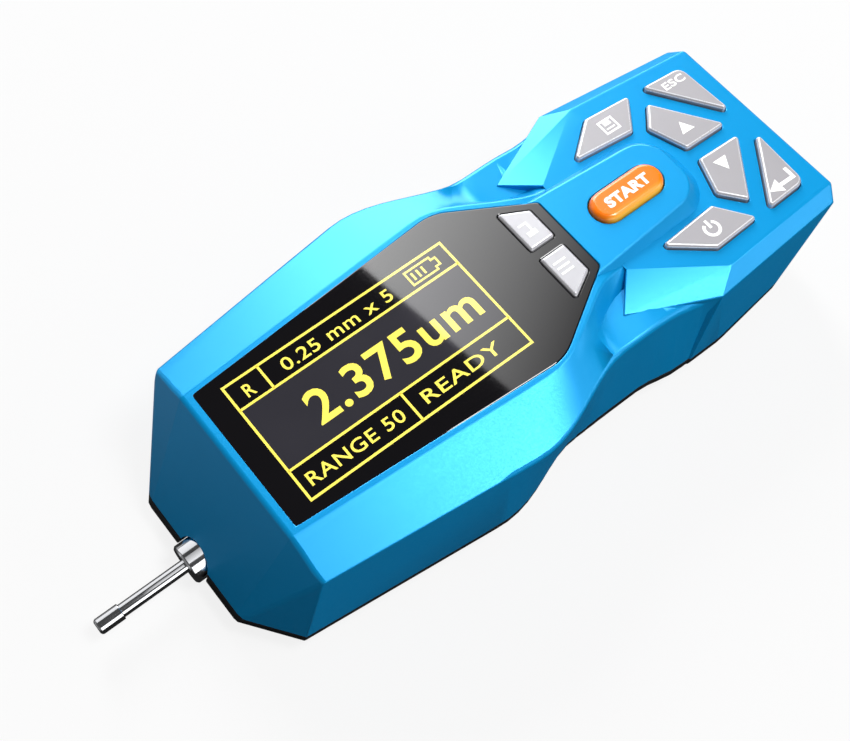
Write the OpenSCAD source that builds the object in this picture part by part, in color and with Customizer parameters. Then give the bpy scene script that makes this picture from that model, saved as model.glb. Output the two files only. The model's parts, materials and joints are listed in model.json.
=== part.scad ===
// Handheld surface roughness tester. Millimetres, +Z up, base on Z = 0.
// Inside the modules X runs from the nose to the keypad end, and Y = 0 is the middle plane.

/* [Housing] */
// Height of the window deck above the base
deck_h = 35; // [33:0.5:40]
// Drop of the shoulder line below the window deck
shoulder_drop = 3.6; // [3:0.1:5]
// Height of the seam between the upper shell and the base cover
seam_h = 7.6; // [7.2:0.1:9]
// Height of the base cover's rim below the seam
rim_h = 2; // [1.5:0.1:2.4]
// Wall thickness of the shell and of the base cover
wall = 2; // [1.6:0.1:2.4]
// Thickness of the deck around the window
deck_wall = 3; // [2.8:0.1:3.6]

/* [Head outline] */
// Width of the deck, carried forward to X = 0
deck_w = 35.4; // [33:0.2:38]
// Width across the shoulder line, carried forward to X = 0
shoulder_w = 54.4; // [52:0.2:57]
// Width at the seam, carried forward to X = 0
seam_w = 54.8; // [52:0.2:58]
// Widening of each edge of the deck per millimetre of length
deck_flare = 0.068; // [0.05:0.002:0.08]
// Widening of each side of the head per millimetre of length
side_flare = 0.12; // [0.1:0.002:0.14]
// Distance from X = 0 to the deck's front edge
deck_front_x = 14.8; // [13:0.2:16]
// Backward lean of the front face
nose_lean = 27.6; // [25:0.1:29]
// Backward lean of the two cheeks beside the front face
cheek_lean = 26.5; // [24:0.1:28]
// Turn of the two cheeks away from the front face
cheek_turn = 9.1; // [6:0.1:12]
// Backward lean of the two corner facets
corner_lean = 11; // [9:0.1:14]
// Turn of the two corner facets away from the front face
corner_turn = 35.9; // [32:0.1:40]

/* [Waist] */
// Width across the shoulder line at the grip
waist_shoulder_w = 54; // [52:0.2:56]
// Width at the seam at the grip
waist_seam_w = 56.8; // [54:0.2:59]
// Width of the neck behind the window
neck_w = 25; // [24:0.2:27]
// Length of the waist forward of the neck
waist_run = 50; // [46:0.5:52]
// Distance from the middle of the neck to the front of the keypad
neck_gap = 1.8; // [1:0.1:2.4]
// Depth of the valley between the head and the keypad, below the deck
valley_drop = 4.2; // [3.8:0.1:4.6]
// Width of the slope from the deck down to the valley
valley_run = 3.2; // [2.6:0.1:4]

/* [Keypad] */
// Distance from X = 0 to the front of the keypad
keypad_x = 104.8; // [103:0.2:107]
// Length of the keypad block behind that
keypad_run = 52.4; // [51:0.2:56]
// Step down from the window deck to the keypad's front
keypad_drop = 1.7; // [1:0.1:2.2]
// Downward tilt of the keypad towards the rear
keypad_tilt = 3.76; // [3:0.02:5]
// Width of the keypad at its front
keypad_front_w = 26.8; // [25:0.2:28]
// Width of the keypad where it is widest
keypad_wide_w = 51.8; // [50:0.2:54]
// Width of the keypad at its rear edge
keypad_rear_w = 47; // [46:0.2:50]
// Distance from the keypad's front to its widest place
keypad_wide_x = 19; // [17:0.2:20]
// Drop of the wings' outer edges below the keypad
wing_drop = 2.4; // [1.8:0.1:3]
// Distance that the wings reach forward of the keypad
wing_reach = 6.8; // [5:0.2:8]
// Width across the wings at their front corners
wing_front_w = 41.2; // [39:0.2:44]
// Width across the wings at their widest place
wing_wide_w = 59.6; // [57:0.2:62]
// Distance from the keypad's front to the wings' widest place
wing_wide_x = 13.2; // [11:0.2:15]
// Width across the wings at the rear
wing_rear_w = 53.4; // [51:0.2:55]
// Distance from the rear face to the wings' rear corners
wing_rear_gap = 1.7; // [1:0.1:3]
// Width across the hips at the rim
hip_w = 60.6; // [58:0.2:63]
// Distance from the keypad's front to the front of the hips
hip_front_x = 8; // [6:0.2:10]
// Distance from the keypad's front to the rear of the hips
hip_rear_x = 17.2; // [15:0.2:20]
// Width across the rear flanks at the rim
flank_w = 56; // [54:0.2:58]
// Distance from the rear face to the flanks' corners
flank_gap = 16.2; // [14:0.2:18]
// Width of the rear face at the rim
rear_seam_w = 48.4; // [46:0.2:50]
// Forward slope of the rear face from the keypad down to the rim
rear_slope = 2.4; // [1.5:0.1:3]
// Height of a key above the keypad
key_rise = 1.2; // [0.8:0.1:1.6]
// Width of the bevel around the top of a key
key_bevel = 0.45; // [0.3:0.05:0.6]
// Travel of a keypad key
key_travel = 0.8; // [0.5:0.05:0.9]
// Width of the flange that holds a key in
key_flange = 0.9; // [0.7:0.05:1.1]
// Thickness of a key's flange
key_flange_t = 1; // [0.8:0.05:1.2]
// Gap between a key and its opening
key_gap = 0.25; // [0.15:0.05:0.35]

/* [Start key] */
// Distance from the keypad's front to the middle of the start key
start_gap = 11.9; // [11:0.1:13]
// Width of the start key
start_w = 8; // [7:0.1:9]
// Length of the start key
start_len = 18.8; // [17:0.1:21]
// Height of the start key above the deck
start_rise = 1.4; // [1:0.1:2]
// Width of the raised tongue at its rear end
tongue_w = 17.2; // [16:0.2:19]
// Radius of the tongue's two rear corners
tongue_r = 6.5; // [5:0.5:8]
// Width of the slope around the tongue
tongue_slope = 3.6; // [3:0.1:4]
// Distance from the keypad's front to the rear end of the tongue
tongue_run = 25.6; // [24:0.2:28]

/* [Window] */
// Distance from X = 0 to the window's front edge
window_x = 16.6; // [16:0.1:18]
// Length of the window
window_len = 83.8; // [82:0.2:86]
// Width of the window at its front edge
window_front_w = 35.6; // [33:0.2:36]
// Width of the window where its sides would meet the rear slants
window_wide_w = 43.8; // [42:0.2:44.4]
// Width of the window at its rear edge
window_rear_w = 19.9; // [18:0.2:21]
// Distance from the window's rear edge to its widest place
window_slant = 19.9; // [18:0.2:21]
// Radius of the window's two wide corners
window_wide_r = 11; // [8:0.5:12]
// Radius of the window's other corners
window_r = 1.2; // [0.8:0.1:1.6]
// Thickness of the window
window_t = 1.6; // [1.2:0.1:1.8]
// Height of a soft key above the window
soft_rise = 0.7; // [0.5:0.1:1]
// Length of a soft key
soft_len = 6.4; // [5:0.1:7]
// Distance from the window's rear edge to the soft keys
soft_gap = 2.8; // [2.4:0.1:3.4]
// Distance between the two soft keys
soft_split = 2.8; // [2:0.1:3.4]
// Width of a soft key at its front edge
soft_front_w = 11.5; // [10:0.1:12]
// Width of a soft key at its rear edge
soft_rear_w = 8; // [7:0.1:8.6]
// Radius of a soft key's corners
soft_r = 0.5; // [0.4:0.05:0.8]
// Travel of a soft key
soft_travel = 0.6; // [0.4:0.05:0.7]

/* [Display] */
// Length of the display panel
panel_len = 58.6; // [56:0.2:60]
// Width of the display panel
panel_w = 32; // [30:0.2:33]
// Thickness of the display panel
panel_t = 2.4; // [2:0.1:2.6]
// Distance from the window's front edge to the display panel
panel_gap = 4.2; // [4:0.1:5.4]

/* [Pickup] */
// Height of the pickup's axis above the base
pickup_h = 6.05; // [5.8:0.05:6.6]
// Diameter of the collar at the nose
collar_d = 9.3; // [8.8:0.1:9.8]
// Distance that the collar stands forward of X = 0
collar_out = 2; // [1:0.1:4]
// Length of the collar
collar_len = 6; // [4:0.2:8]
// Chamfer on the collar's edges
collar_bevel = 0.5; // [0.3:0.1:0.8]
// Diameter of the pickup body behind the collar
pickup_d = 7.6; // [7.2:0.1:7.8]
// Length of the pickup body with its collar
pickup_len = 44; // [42:0.2:45]
// Bore of the pickup body
pickup_bore_d = 5.2; // [4.8:0.1:5.6]
// Diameter of the guard tube
tube_d = 3; // [2.6:0.1:3.4]
// Wall of the guard tube
tube_wall = 0.45; // [0.35:0.05:0.6]
// Length of the guard tube in front of the collar
tube_len = 15.7; // [12:0.1:20]
// Diameter of the skid nose
skid_d = 3.7; // [3.5:0.1:4.2]
// Length of the skid nose
skid_len = 5.8; // [5:0.1:8]
// Length of the skid nose that the guard tube goes into
skid_socket = 1.2; // [1:0.1:1.6]
// Length of the guard tube's seat short of the collar's rear end
tube_seat = 1; // [0.6:0.1:1.6]
// Diameter of the stylus arm
arm_d = 0.8; // [0.6:0.05:1]
// Distance from X = 0 to the stylus pivot
pivot_x = 14; // [12:0.5:16]
// Diameter of the pivot pin
pin_d = 0.8; // [0.6:0.05:0.9]
// Diameter of the arm's hub on the pivot pin
hub_d = 2.2; // [2:0.1:2.6]
// Length of the arm's hub
hub_len = 2; // [1.6:0.1:2.6]
// Distance from the skid nose's front to the stylus tip
tip_gap = 2.4; // [2:0.1:3]
// Diameter of the stylus tip's shank
tip_d = 0.5; // [0.4:0.05:0.6]
// Distance that the stylus tip stands below the skid nose
tip_out = 0.2; // [0.1:0.05:0.3]
// Distance from the stylus pivot to the pickup's coil
coil_gap = 4; // [3:0.1:5]
// Length of the pickup's coil
coil_len = 7; // [6:0.2:8]

/* [Drive] */
// Length of the traverse
stroke = 17.5; // [12:0.5:18]
// Distance from X = 0 to the drive frame
frame_front_x = 47; // [46:0.5:48]
// Width of the drive frame
frame_w = 26; // [24:0.5:28]
// Height of the drive frame's walls above the base
frame_top_z = 20; // [18:0.5:22]
// Thickness of the drive frame's walls
frame_wall = 2.5; // [2:0.1:3]
// Thickness of the drive frame's floor
frame_plate_t = 2; // [1.6:0.1:2.4]
// Height of the lead screw's axis above the base
screw_h = 14; // [13.6:0.1:15]
// Diameter of the lead screw
screw_d = 4; // [3.5:0.1:4.5]
// Diameter of the lead screw's ends
journal_d = 2.5; // [2:0.1:3]
// Diameter of the bushes that carry the lead screw
bush_d = 5; // [4.4:0.1:5.6]
// Diameter of the nut on the lead screw
nut_d = 7; // [6.2:0.1:7.6]
// Diameter of the guide rods
rod_d = 3; // [2.5:0.1:3.5]
// Distance between the guide rods
rod_pitch = 17; // [16:0.2:18]
// Diameter of the shaft coupling
coupling_d = 7; // [6:0.2:8]
// Length of the shaft coupling
coupling_len = 8; // [7:0.5:10]
// Diameter of the drive motor
motor_d = 12; // [10:0.2:12]
// Length of the drive motor with its gearbox
motor_len = 24; // [20:0.5:25]
// Diameter of the drive motor's shaft
motor_shaft_d = 2; // [1.5:0.1:2.2]
// Thickness of the plate that carries the motor
motor_plate_t = 1.2; // [1:0.1:1.6]
// Length of the carriage
carriage_len = 11; // [9:0.5:11.5]
// Depth of the pickup's socket in the carriage
socket_depth = 6; // [5:0.2:7]
// Diameter of the pickup's socket
socket_d = 6.2; // [5.8:0.1:6.6]
// Diameter of the pickup's plug
jack_d = 4; // [3.5:0.1:4.4]
// Length of the pickup's plug
jack_len = 6; // [5:0.2:6.6]

/* [Base] */
// Distance from X = 0 to the front of the flat underside
belly_front_x = 10; // [8:0.5:12]
// Distance from the rear face to the end of the flat underside
belly_rear_gap = 9.2; // [8:0.2:12]
// Distance that the flat underside lies inside the rim
belly_inset = 4.6; // [4:0.2:5]
// Length of the slopes at the two ends of the underside
belly_slope = 4; // [3:0.2:5]
// Width of the underside at its front edge
belly_nose_w = 26; // [22:0.5:30]
// Length over which the underside widens behind its front edge
belly_nose_run = 8; // [6:0.5:10]
// Width of the underside at its rear edge
belly_rear_w = 43; // [41:0.5:44]
// Wall of the tunnel that the pickup slides in
tunnel_wall = 1.6; // [1.4:0.1:2]
// Thickness of the ribs inside the housing
rib_t = 1.6; // [1.2:0.1:2]
// Diameter of the threaded hole for a stand
stand_hole_d = 4.2; // [3.3:0.1:4.2]
// Depth of the threaded hole for a stand
stand_hole_len = 6; // [4:0.5:6]
// Distance from X = 0 to the threaded hole
stand_hole_x = 104; // [100:0.5:106]
// Diameter of the threaded insert in that hole
insert_d = 7; // [6:0.1:8]
// Distance from X = 0 to the front case screws
case_front_x = 22; // [20:0.5:24]
// Distance from the rear face to the rear case screws
case_rear_gap = 15.2; // [14:0.2:17]
// Distance between the left and right case screws
case_screw_pitch = 38; // [36:0.5:39]
// Diameter of the case screws
case_screw_d = 2.4; // [2:0.1:2.6]
// Diameter of the case screws' heads
case_head_d = 4.8; // [4.4:0.1:5.2]
// Depth of the bosses' seats below which the case screws' heads lie
case_head_z = 3.2; // [2.8:0.1:3.6]
// Diameter of the bosses that take the case screws
boss_d = 6; // [5:0.1:7]
// Height of those bosses above the base
boss_top_z = 20; // [18:0.5:22]

/* [Boards] */
// Distance that the main board reaches forward of the window
board_lead = 0.6; // [0.2:0.1:1]
// Length of the main board
board_len = 82; // [78:0.5:83]
// Width of the main board
board_w = 35.2; // [33:0.2:35.6]
// Width of the main board at its rear edge
board_rear_w = 26; // [24:0.2:27]
// Length over which the main board narrows
board_slant = 18; // [16:0.5:20]
// Thickness of the main board
board_t = 1.6; // [1.2:0.1:1.6]
// Side of the square chips on the main board
chip_w = 10; // [8:0.5:12]
// Height of the chips
chip_h = 1.4; // [1:0.1:1.8]
// Diameter of the switches below the soft keys
switch_d = 3.2; // [2.6:0.1:4]
// Thickness of the keypad board and of the charge board
small_board_t = 1.2; // [1:0.1:1.4]
// Distance from the rear face to the charge board's front
charge_gap = 14.7; // [14:0.1:15.4]
// Length of the charge board
charge_len = 9.4; // [9:0.1:10]
// Width of the charge board
charge_w = 18; // [16:0.5:20]
// Height of the charge board above the base
charge_z = 12.4; // [12:0.1:13]
// Thickness of the key mat
mat_t = 0.8; // [0.6:0.1:1]
// Height of the key mat's domes
dome_h = 0.6; // [0.4:0.1:0.8]
// Diameter of the key mat's domes
dome_d = 5; // [4:0.2:5.4]
// Diameter of the board screws
board_screw_d = 1.5; // [1.4:0.1:1.8]
// Diameter of the bosses that take the board screws
board_boss_d = 3.4; // [3:0.1:4]
// Diameter of the drive frame's screws
frame_screw_d = 1.8; // [1.6:0.1:2]
// Height above the base at which the drive frame's screws end
frame_pilot_z = 0.6; // [0.5:0.1:1]
// Length of the battery
battery_len = 21; // [18:0.5:22]
// Width of the battery
battery_w = 30; // [24:0.5:30]
// Thickness of the battery
battery_t = 8; // [6:0.5:9]
// Distance from the rear face to the battery's front
battery_gap = 37.7; // [37:0.1:39]
// Set-back of the charging socket from the rear face
usb_set_back = 1.8; // [1.6:0.1:2.4]
// Width of the charging socket
usb_w = 7.6; // [7:0.1:8]
// Height of the charging socket
usb_h = 3; // [2.6:0.1:3.4]
// Length of the charging socket
usb_len = 8; // [7:0.1:9]
// Wall of the charging socket
usb_wall = 0.4; // [0.3:0.05:0.5]

/* [Fits] */
// Gap between pieces that are pushed together
seat_gap = 0.02; // [0.01:0.01:0.04]
// Radial clearance of a running fit
run_gap = 0.05; // [0.02:0.01:0.08]
// Gap around pieces that are laid in place
lay_gap = 0.1; // [0.05:0.01:0.2]
// Clearance of a screw in its through hole
hole_gap = 0.2; // [0.1:0.05:0.3]
// Gap around moving pieces inside the housing
free_gap = 0.5; // [0.4:0.05:0.6]

/* [Hidden] */
$fn = 64;
eps = 0.01;
big = 200;

// Places along the housing
body_len = keypad_x + keypad_run;
nose_to_origin = (belly_front_x + body_len - belly_rear_gap) / 2;
keypad_len = keypad_run / cos(keypad_tilt);
neck_x = keypad_x - neck_gap;
waist_step = 0.06 * waist_run;
tongue_x = neck_x - 0.26 * waist_run;
tongue_inset = 0.3 * wall;
start_x = keypad_x + start_gap;
panel_x = window_x + panel_gap;
board_x = window_x - board_lead;
soft_x = window_x + window_len - soft_gap - soft_len;
battery_x = body_len - battery_gap;
charge_x = body_len - charge_gap;
usb_x = body_len - usb_set_back - usb_len;
wing_h = seam_h;
hip_x = [keypad_x + hip_front_x, keypad_x + hip_rear_x];
flank_x = body_len - flank_gap;
skid_x = -collar_out - tube_len - skid_len;
tip_x = skid_x + tip_gap;
coil_x = pivot_x + coil_gap;

// Heights above the base
rim_z = seam_h - rim_h;
shoulder_h = deck_h - shoulder_drop;
valley_h = deck_h - valley_drop;
keypad_h = deck_h - keypad_drop;
seat_z = deck_h - window_t;
panel_z = seat_z - hole_gap - panel_t;
board_z = panel_z - board_t;
mat_drop = wall + lay_gap + key_flange_t + key_travel + hole_gap + dome_h + mat_t;
soft_flange_z = seat_z - hole_gap - key_flange_t;
switch_h = soft_flange_z - board_z - board_t - soft_travel - hole_gap;

// Places along the drive
pickup_rear_x = pickup_len - collar_out;
socket_x = pickup_rear_x + hole_gap;
carriage_x = frame_front_x + frame_wall + free_gap;
frame_rear_x = carriage_x + carriage_len + stroke + free_gap;
coupling_x = frame_rear_x + frame_wall + 3 * free_gap;
motor_x = coupling_x + coupling_len + motor_plate_t + 2 * hole_gap;
channel_r = collar_d / 2 + free_gap;
channel_end_x = frame_front_x - 2 * free_gap;
bay_half = pickup_d / 2 + tunnel_wall;
carriage_low_z = wall + free_gap;

// Screw places: main board, keypad board in keypad coordinates, drive frame, charge board
MAIN_SCREWS = [[board_x + 2.4, board_w / 2 - 5.6], [board_x + board_len - 13.4, board_w / 2 - 4.2]];
KEYPAD_SCREWS = [[4.4, 14.4], [4.4, -14.4], [47, 0]];
FRAME_SCREWS = [[frame_front_x + 6, frame_w / 2 - 2.5], [frame_rear_x + 7, frame_w / 2 - 2.5]];
CHARGE_POSTS = [for (side = [-1, 1]) [charge_x + wall + free_gap, side * (charge_w / 2 - 2.5)]];

// Outlines as corners with a radius each: along, across, radius
SAVE_KEY = [[9.3, 13.8, 0.7], [25.6, 12.5, 1], [31.8, 20.7, 0.7], [19.1, 21.4, 1]];
UP_KEY = [[28.7, 10.9, 1], [32.1, 1.8, 1], [44.2, 1.9, 0.7], [33.5, 16.5, 0.7]];
ESCAPE_KEY = [[35.5, 20.6, 0.7], [48, 3.5, 0.7], [47.1, 20, 2.4]];
KEY_MIDDLES = [[21.4, 17], [34.6, 7.8], [43.6, 14.6]];
SOFT_KEY = [
    [soft_x, soft_split / 2, soft_r],
    [soft_x + soft_len, soft_split / 2, soft_r],
    [soft_x + soft_len, soft_split / 2 + soft_rear_w, soft_r],
    [soft_x, soft_split / 2 + soft_front_w, soft_r],
];
START_KEY = [for (c = [[-1, -1], [1, -1], [1, 1], [-1, 1]])
    [start_x + c.x * start_len / 2, c.y * start_w / 2, 0.49 * start_w]];
KEYPAD_BOARD = [
    [0.8, -16, 1], [17, -20.6, 2], [45.2, -20, 2], [49, -8, 2],
    [49, 8, 2], [45.2, 20, 2], [17, 20.6, 2], [0.8, 16, 1],
];
WINDOW = [
    [window_x, -window_front_w / 2, window_r],
    [window_x + window_len - window_slant, -window_wide_w / 2, window_wide_r],
    [window_x + window_len, -window_rear_w / 2, window_r],
    [window_x + window_len, window_rear_w / 2, window_r],
    [window_x + window_len - window_slant, window_wide_w / 2, window_wide_r],
    [window_x, window_front_w / 2, window_r],
];

// Value between two others by a share from 0 to 1
function mix(a, b, t) = a + (b - a) * t;
// Smooth step from 0 at x0 to 1 at x1
function ramp(x, x0, x1) = let (t = min(max((x - x0) / (x1 - x0), 0), 1)) t * t * (3 - 2 * t);
// Smooth step along the waist between two shares of its length, counted from the neck
function waist(x, s0, s1) = ramp(x, neck_x + s0 * waist_run, neck_x + s1 * waist_run);
// Height of the keypad plane above the base
function keypad_z(x) = keypad_h - (x - keypad_x) * tan(keypad_tilt);
// Half widths of the deck, the shoulder line and the seam along the head and the waist
function deck_half(x) = mix(deck_w / 2 + deck_flare * x, neck_w / 2, waist(x, -0.54, 0));
function shoulder_half(x) = mix(
    mix(shoulder_w / 2 + side_flare * x, waist_shoulder_w / 2, waist(x, -0.8, -0.2)),
    (wing_wide_w - wall) / 2, waist(x, 0.06, 0.34));
function seam_half(x) = mix(
    mix(seam_w / 2 + side_flare * x, waist_seam_w / 2, waist(x, -0.96, -0.46)),
    hip_w / 2 - hole_gap, waist(x, -0.08, 0.14));
// Heights of the deck and of the shoulder line along the head and the waist
function deck_z(x) = mix(deck_h, keypad_z(x) - hole_gap, waist(x, -0.16, 0.06));
function shoulder_z(x) = shoulder_h - wing_drop * waist(x, -0.06, 0.28);
// Half width of the rim from the head to the rear flanks
function rim_half(x) = x < hip_x[1] ? seam_half(x)
    : mix(hip_w, flank_w, (x - hip_x[1]) / (flank_x - hip_x[1])) / 2;

function unit(v) = v / norm(v);
function edge_out(a, b) = let (d = unit(b - a)) [d.y, -d.x];
// Corner list with radii, each edge moved outwards by d
function grown(c, d) = [for (i = [0 : len(c) - 1])
    let (p = [c[i].x, c[i].y], a = c[(i + len(c) - 1) % len(c)], b = c[(i + 1) % len(c)],
        n = edge_out([a.x, a.y], p), m = edge_out(p, [b.x, b.y]), q = p + (n + m) * d / (1 + n * m))
    [q.x, q.y, max(c[i].z + d, 0.2)]];
// Outline with a round arc at each corner
function rounded(c, steps = 5) = [for (i = [0 : len(c) - 1])
    let (p = [c[i].x, c[i].y], r = c[i].z, a = c[(i + len(c) - 1) % len(c)], b = c[(i + 1) % len(c)],
        u = unit([a.x, a.y] - p), v = unit([b.x, b.y] - p), h = acos(u * v) / 2,
        m = p + unit(u + v) * r / sin(h), s = p + u * r / tan(h) - m,
        a0 = atan2(s.y, s.x), turn = 180 - 2 * h)
    for (k = [0 : steps]) m + r * [cos(a0 + turn * k / steps), sin(a0 + turn * k / steps)]];

module place() translate([-nose_to_origin, 0, 0]) children();
module both_sides() {
    children();
    mirror([0, 1, 0]) children();
}
module on_keypad() translate([keypad_x, 0, keypad_h]) rotate([0, keypad_tilt, 0]) children();
module rod_x(x, z, d, l) translate([x, 0, z]) rotate([0, 90, 0]) cylinder(h = l, d = d);
module pin_y(x, z, d, l) translate([x, -l / 2, z]) rotate([-90, 0, 0]) cylinder(h = l, d = d);
module turned_x(x, z) translate([x, 0, z]) rotate([0, 90, 0]) rotate_extrude() children();
module plate(corners, z, h) translate([0, 0, z]) linear_extrude(h) polygon(rounded(corners));
module at_case_screws() for (x = [case_front_x, body_len - case_rear_gap]) for (s = [-1, 1])
    translate([x, s * case_screw_pitch / 2, 0]) children();

// Lofted skin of the head and the waist, moved inwards by t at the sides and by d at the deck
module loft(t, d) {
    stations = concat([-deck_front_x / 2, neck_x - waist_run],
        [for (k = [1 : 22]) neck_x - waist_run + (k - 2 / 3) * waist_step]);
    last = len(stations) - 1;
    halves = [for (x = stations)
        let (v = waist(x, -0.42, -0.14),
            shoulder = [shoulder_half(x), shoulder_z(x)], deck = [deck_half(x), deck_z(x)],
            valley = mix(mix(deck, shoulder, 0.3), [deck.x + valley_run, valley_h], v))
        [[seam_half(x) - t, rim_z - 1], shoulder - [t, 0.73 * t],
            valley - [0.45 * t, t], deck - [0.45 * t, d]]];
    points = [for (i = [0 : last]) each concat(
        [for (k = [0 : 3]) [stations[i], -halves[i][k].x, halves[i][k].y]],
        [for (k = [3 : -1 : 0]) [stations[i], halves[i][k].x, halves[i][k].y]])];
    sides = [for (i = [0 : last - 1]) for (k = [0 : 7])
        let (a = i * 8 + k, b = i * 8 + (k + 1) % 8)
        each [[a, b, b + 8], [a, b + 8, a + 8]]];
    polyhedron(points, concat([[7, 6, 5, 4, 3, 2, 1, 0]], sides, [[for (k = [0 : 7]) last * 8 + k]]));
}
// Space in front of the front face, the cheeks and the corner facets, moved inwards by t
module nose_space(t) {
    front_space([deck_front_x, 0, deck_h], nose_lean, 0, t);
    both_sides() {
        front_space([deck_front_x, deck_half(deck_front_x), deck_h], cheek_lean, cheek_turn, t);
        front_space([deck_front_x, shoulder_half(deck_front_x), shoulder_h], corner_lean, corner_turn, t);
    }
}
module front_space(p, lean, turn, t) translate(p) rotate([0, lean, -turn])
    translate([t - big, -big / 2, -big / 2]) cube(big);
// Body that spans a list of corners
module spanned(points) hull() polyhedron(points, [[for (i = [0 : len(points) - 1]) i]]);
// Body that spans outlines with radii, each at its own height: outline, height
module stacked(rings) spanned([for (ring = rings) for (p = rounded(ring[0])) [p.x, p.y, ring[1]]]);
// Corners on the keypad plane and on the wings, moved inwards by t
function keypad_corner(u, w, t) = let (along = min(u, keypad_len - 1.2 * t))
    [keypad_x + along * cos(keypad_tilt) - t * sin(keypad_tilt), w / 2 - 0.6 * t,
        keypad_h - along * sin(keypad_tilt) - t * cos(keypad_tilt)];
function wing_corner(x, w, t) = [x, w / 2 - t, keypad_z(x) - wing_drop - 0.8 * t];
function mirrored(points) = concat(points, [for (p = points) [p.x, -p.y, p.z]]);
// Keypad block from its top plane down to the rim, moved inwards by t
module keypad_block(t) spanned(mirrored([
    keypad_corner(0, keypad_front_w, t), keypad_corner(keypad_wide_x, keypad_wide_w, t),
    keypad_corner(keypad_len, keypad_rear_w, t), wing_corner(keypad_x + wing_wide_x, wing_wide_w, t),
    wing_corner(body_len - wing_rear_gap - 1.1 * t, wing_rear_w, t),
    [hip_x[0], hip_w / 2 - t, rim_z - 1], [hip_x[1], hip_w / 2 - t, rim_z - 1],
    [flank_x, flank_w / 2 - t, rim_z - 1],
    [body_len - rear_slope - 1.1 * t, rear_seam_w / 2 - t, rim_z - 1]]));
// Wing that falls from the keypad's slanted front edge to the waist
module wing() spanned([for (drop = [0, wing_h]) for (p = [
        keypad_corner(0, keypad_front_w, 0), keypad_corner(keypad_wide_x, keypad_wide_w, 0),
        wing_corner(keypad_x - wing_reach, wing_front_w, 0),
        wing_corner(keypad_x + wing_wide_x, wing_wide_w, 0)])
    [p.x, p.y, p.z - drop]]);
// Raised tongue that carries the start key
module tongue() {
    top = [[tongue_x, -neck_w / 2 + tongue_inset, 1], [keypad_x + tongue_run, -tongue_w / 2, tongue_r],
        [keypad_x + tongue_run, tongue_w / 2, tongue_r], [tongue_x, neck_w / 2 - tongue_inset, 1]];
    stacked([[top, deck_h], [grown(top, tongue_slope), deck_h - 1.2 * tongue_slope]]);
}
// Full outer form of the housing, from below the rim to the deck
module skin() {
    difference() {
        loft(0, 0);
        nose_space(0);
    }
    keypad_block(0);
    both_sides() wing();
    tongue();
}

// Space around the charging socket, from inside the rear wall outwards
module usb_space(gap) translate([usb_x + usb_len / 2, -usb_w / 2 - gap, charge_z + small_board_t - gap])
    cube([usb_len + 4, usb_w + 2 * gap, usb_h + 2 * gap]);

module top_shell() place() color("deepskyblue") difference() {
    union() {
        difference() {
            skin();
            difference() {
                loft(wall, deck_wall);
                nose_space(wall);
            }
            keypad_block(wall);
        }
        // Bosses for the case screws, each tied to the side wall by a rib
        at_case_screws() translate([0, 0, seam_h]) cylinder(h = boss_top_z - seam_h, d = boss_d);
        for (rib = [[case_front_x, shoulder_half(case_front_x) - wall / 2],
                [body_len - case_rear_gap, flank_w / 2 - 0.6 * wall]])
            both_sides() translate([rib.x - rib_t / 2, case_screw_pitch / 2 + boss_d / 2 - rib_t / 4, seam_h])
                cube([rib_t, rib.y - case_screw_pitch / 2 - boss_d / 2 + rib_t / 4, boss_top_z - seam_h]);
        for (p = MAIN_SCREWS) both_sides() translate([p.x, p.y, board_z + board_t])
            cylinder(h = seat_z - board_z - board_t - 2 * hole_gap, d = board_boss_d);
        on_keypad() for (p = KEYPAD_SCREWS) translate([p.x, p.y, -mat_drop])
            cylinder(h = mat_drop - wall / 2, d = board_boss_d);
    }
    translate([-big / 2, -big / 2, seam_h - big]) cube([2 * big, big, big]);
    plate(grown(WINDOW, lay_gap), seat_z, big);
    translate([panel_x - 2 * hole_gap, -panel_w / 2 - 2 * hole_gap, board_z])
        cube([panel_len + 4 * hole_gap, panel_w + 4 * hole_gap, big]);
    both_sides() plate(grown(SOFT_KEY, key_flange + hole_gap), board_z, big);
    both_sides() for (key = [SAVE_KEY, UP_KEY, ESCAPE_KEY])
        on_keypad() plate(grown(key, key_gap), -2 * wall, 3 * wall);
    plate(grown(START_KEY, key_gap), deck_h - 4 * wall, 8 * wall);
    plate(grown(START_KEY, key_flange + hole_gap), deck_h - 5 * wall, 4 * wall);
    rod_x(-big / 2, pickup_h, 2 * channel_r, big / 2 + case_front_x);
    at_case_screws() cylinder(h = boss_top_z - wall, d = case_screw_d + 2 * seat_gap);
    for (p = MAIN_SCREWS) both_sides() translate([p.x, p.y, board_z])
        cylinder(h = 2 * board_t, d = board_screw_d + 2 * seat_gap);
    on_keypad() for (p = KEYPAD_SCREWS) translate([p.x, p.y, -mat_drop - wall])
        cylinder(h = 2 * wall + mat_t, d = board_screw_d + 2 * seat_gap);
    usb_space(hole_gap);
}

// Outline of the base cover's belly, at the underside for s = 0 and at the rim for s = 1, inwards by t
function belly_ring(s, t) = let (ends = belly_slope * s - t, inset = mix(belly_inset, wall / 2, s) + t,
    side = concat([[belly_front_x - ends, belly_nose_w / 2]],
        [for (x = [belly_front_x + belly_nose_run : belly_slope : flank_x]) [x, rim_half(x) - inset]],
        [[body_len - belly_rear_gap + ends, belly_rear_w / 2]]))
    concat([for (p = side) [p.x, -p.y]], [for (i = [len(side) - 1 : -1 : 0]) side[i]]);
module belly(t) {
    low = belly_ring(0, t);
    high = belly_ring(1, t);
    n = len(low);
    polyhedron(concat([for (p = low) [p.x, p.y, t]], [for (p = high) [p.x, p.y, rim_z + eps]]), concat(
        [[for (i = [0 : n - 1]) i]], [[for (i = [n - 1 : -1 : 0]) n + i]],
        [for (i = [0 : n - 1]) let (j = (i + 1) % n) each [[i, n + i, n + j], [i, n + j, j]]]));
}

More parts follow.
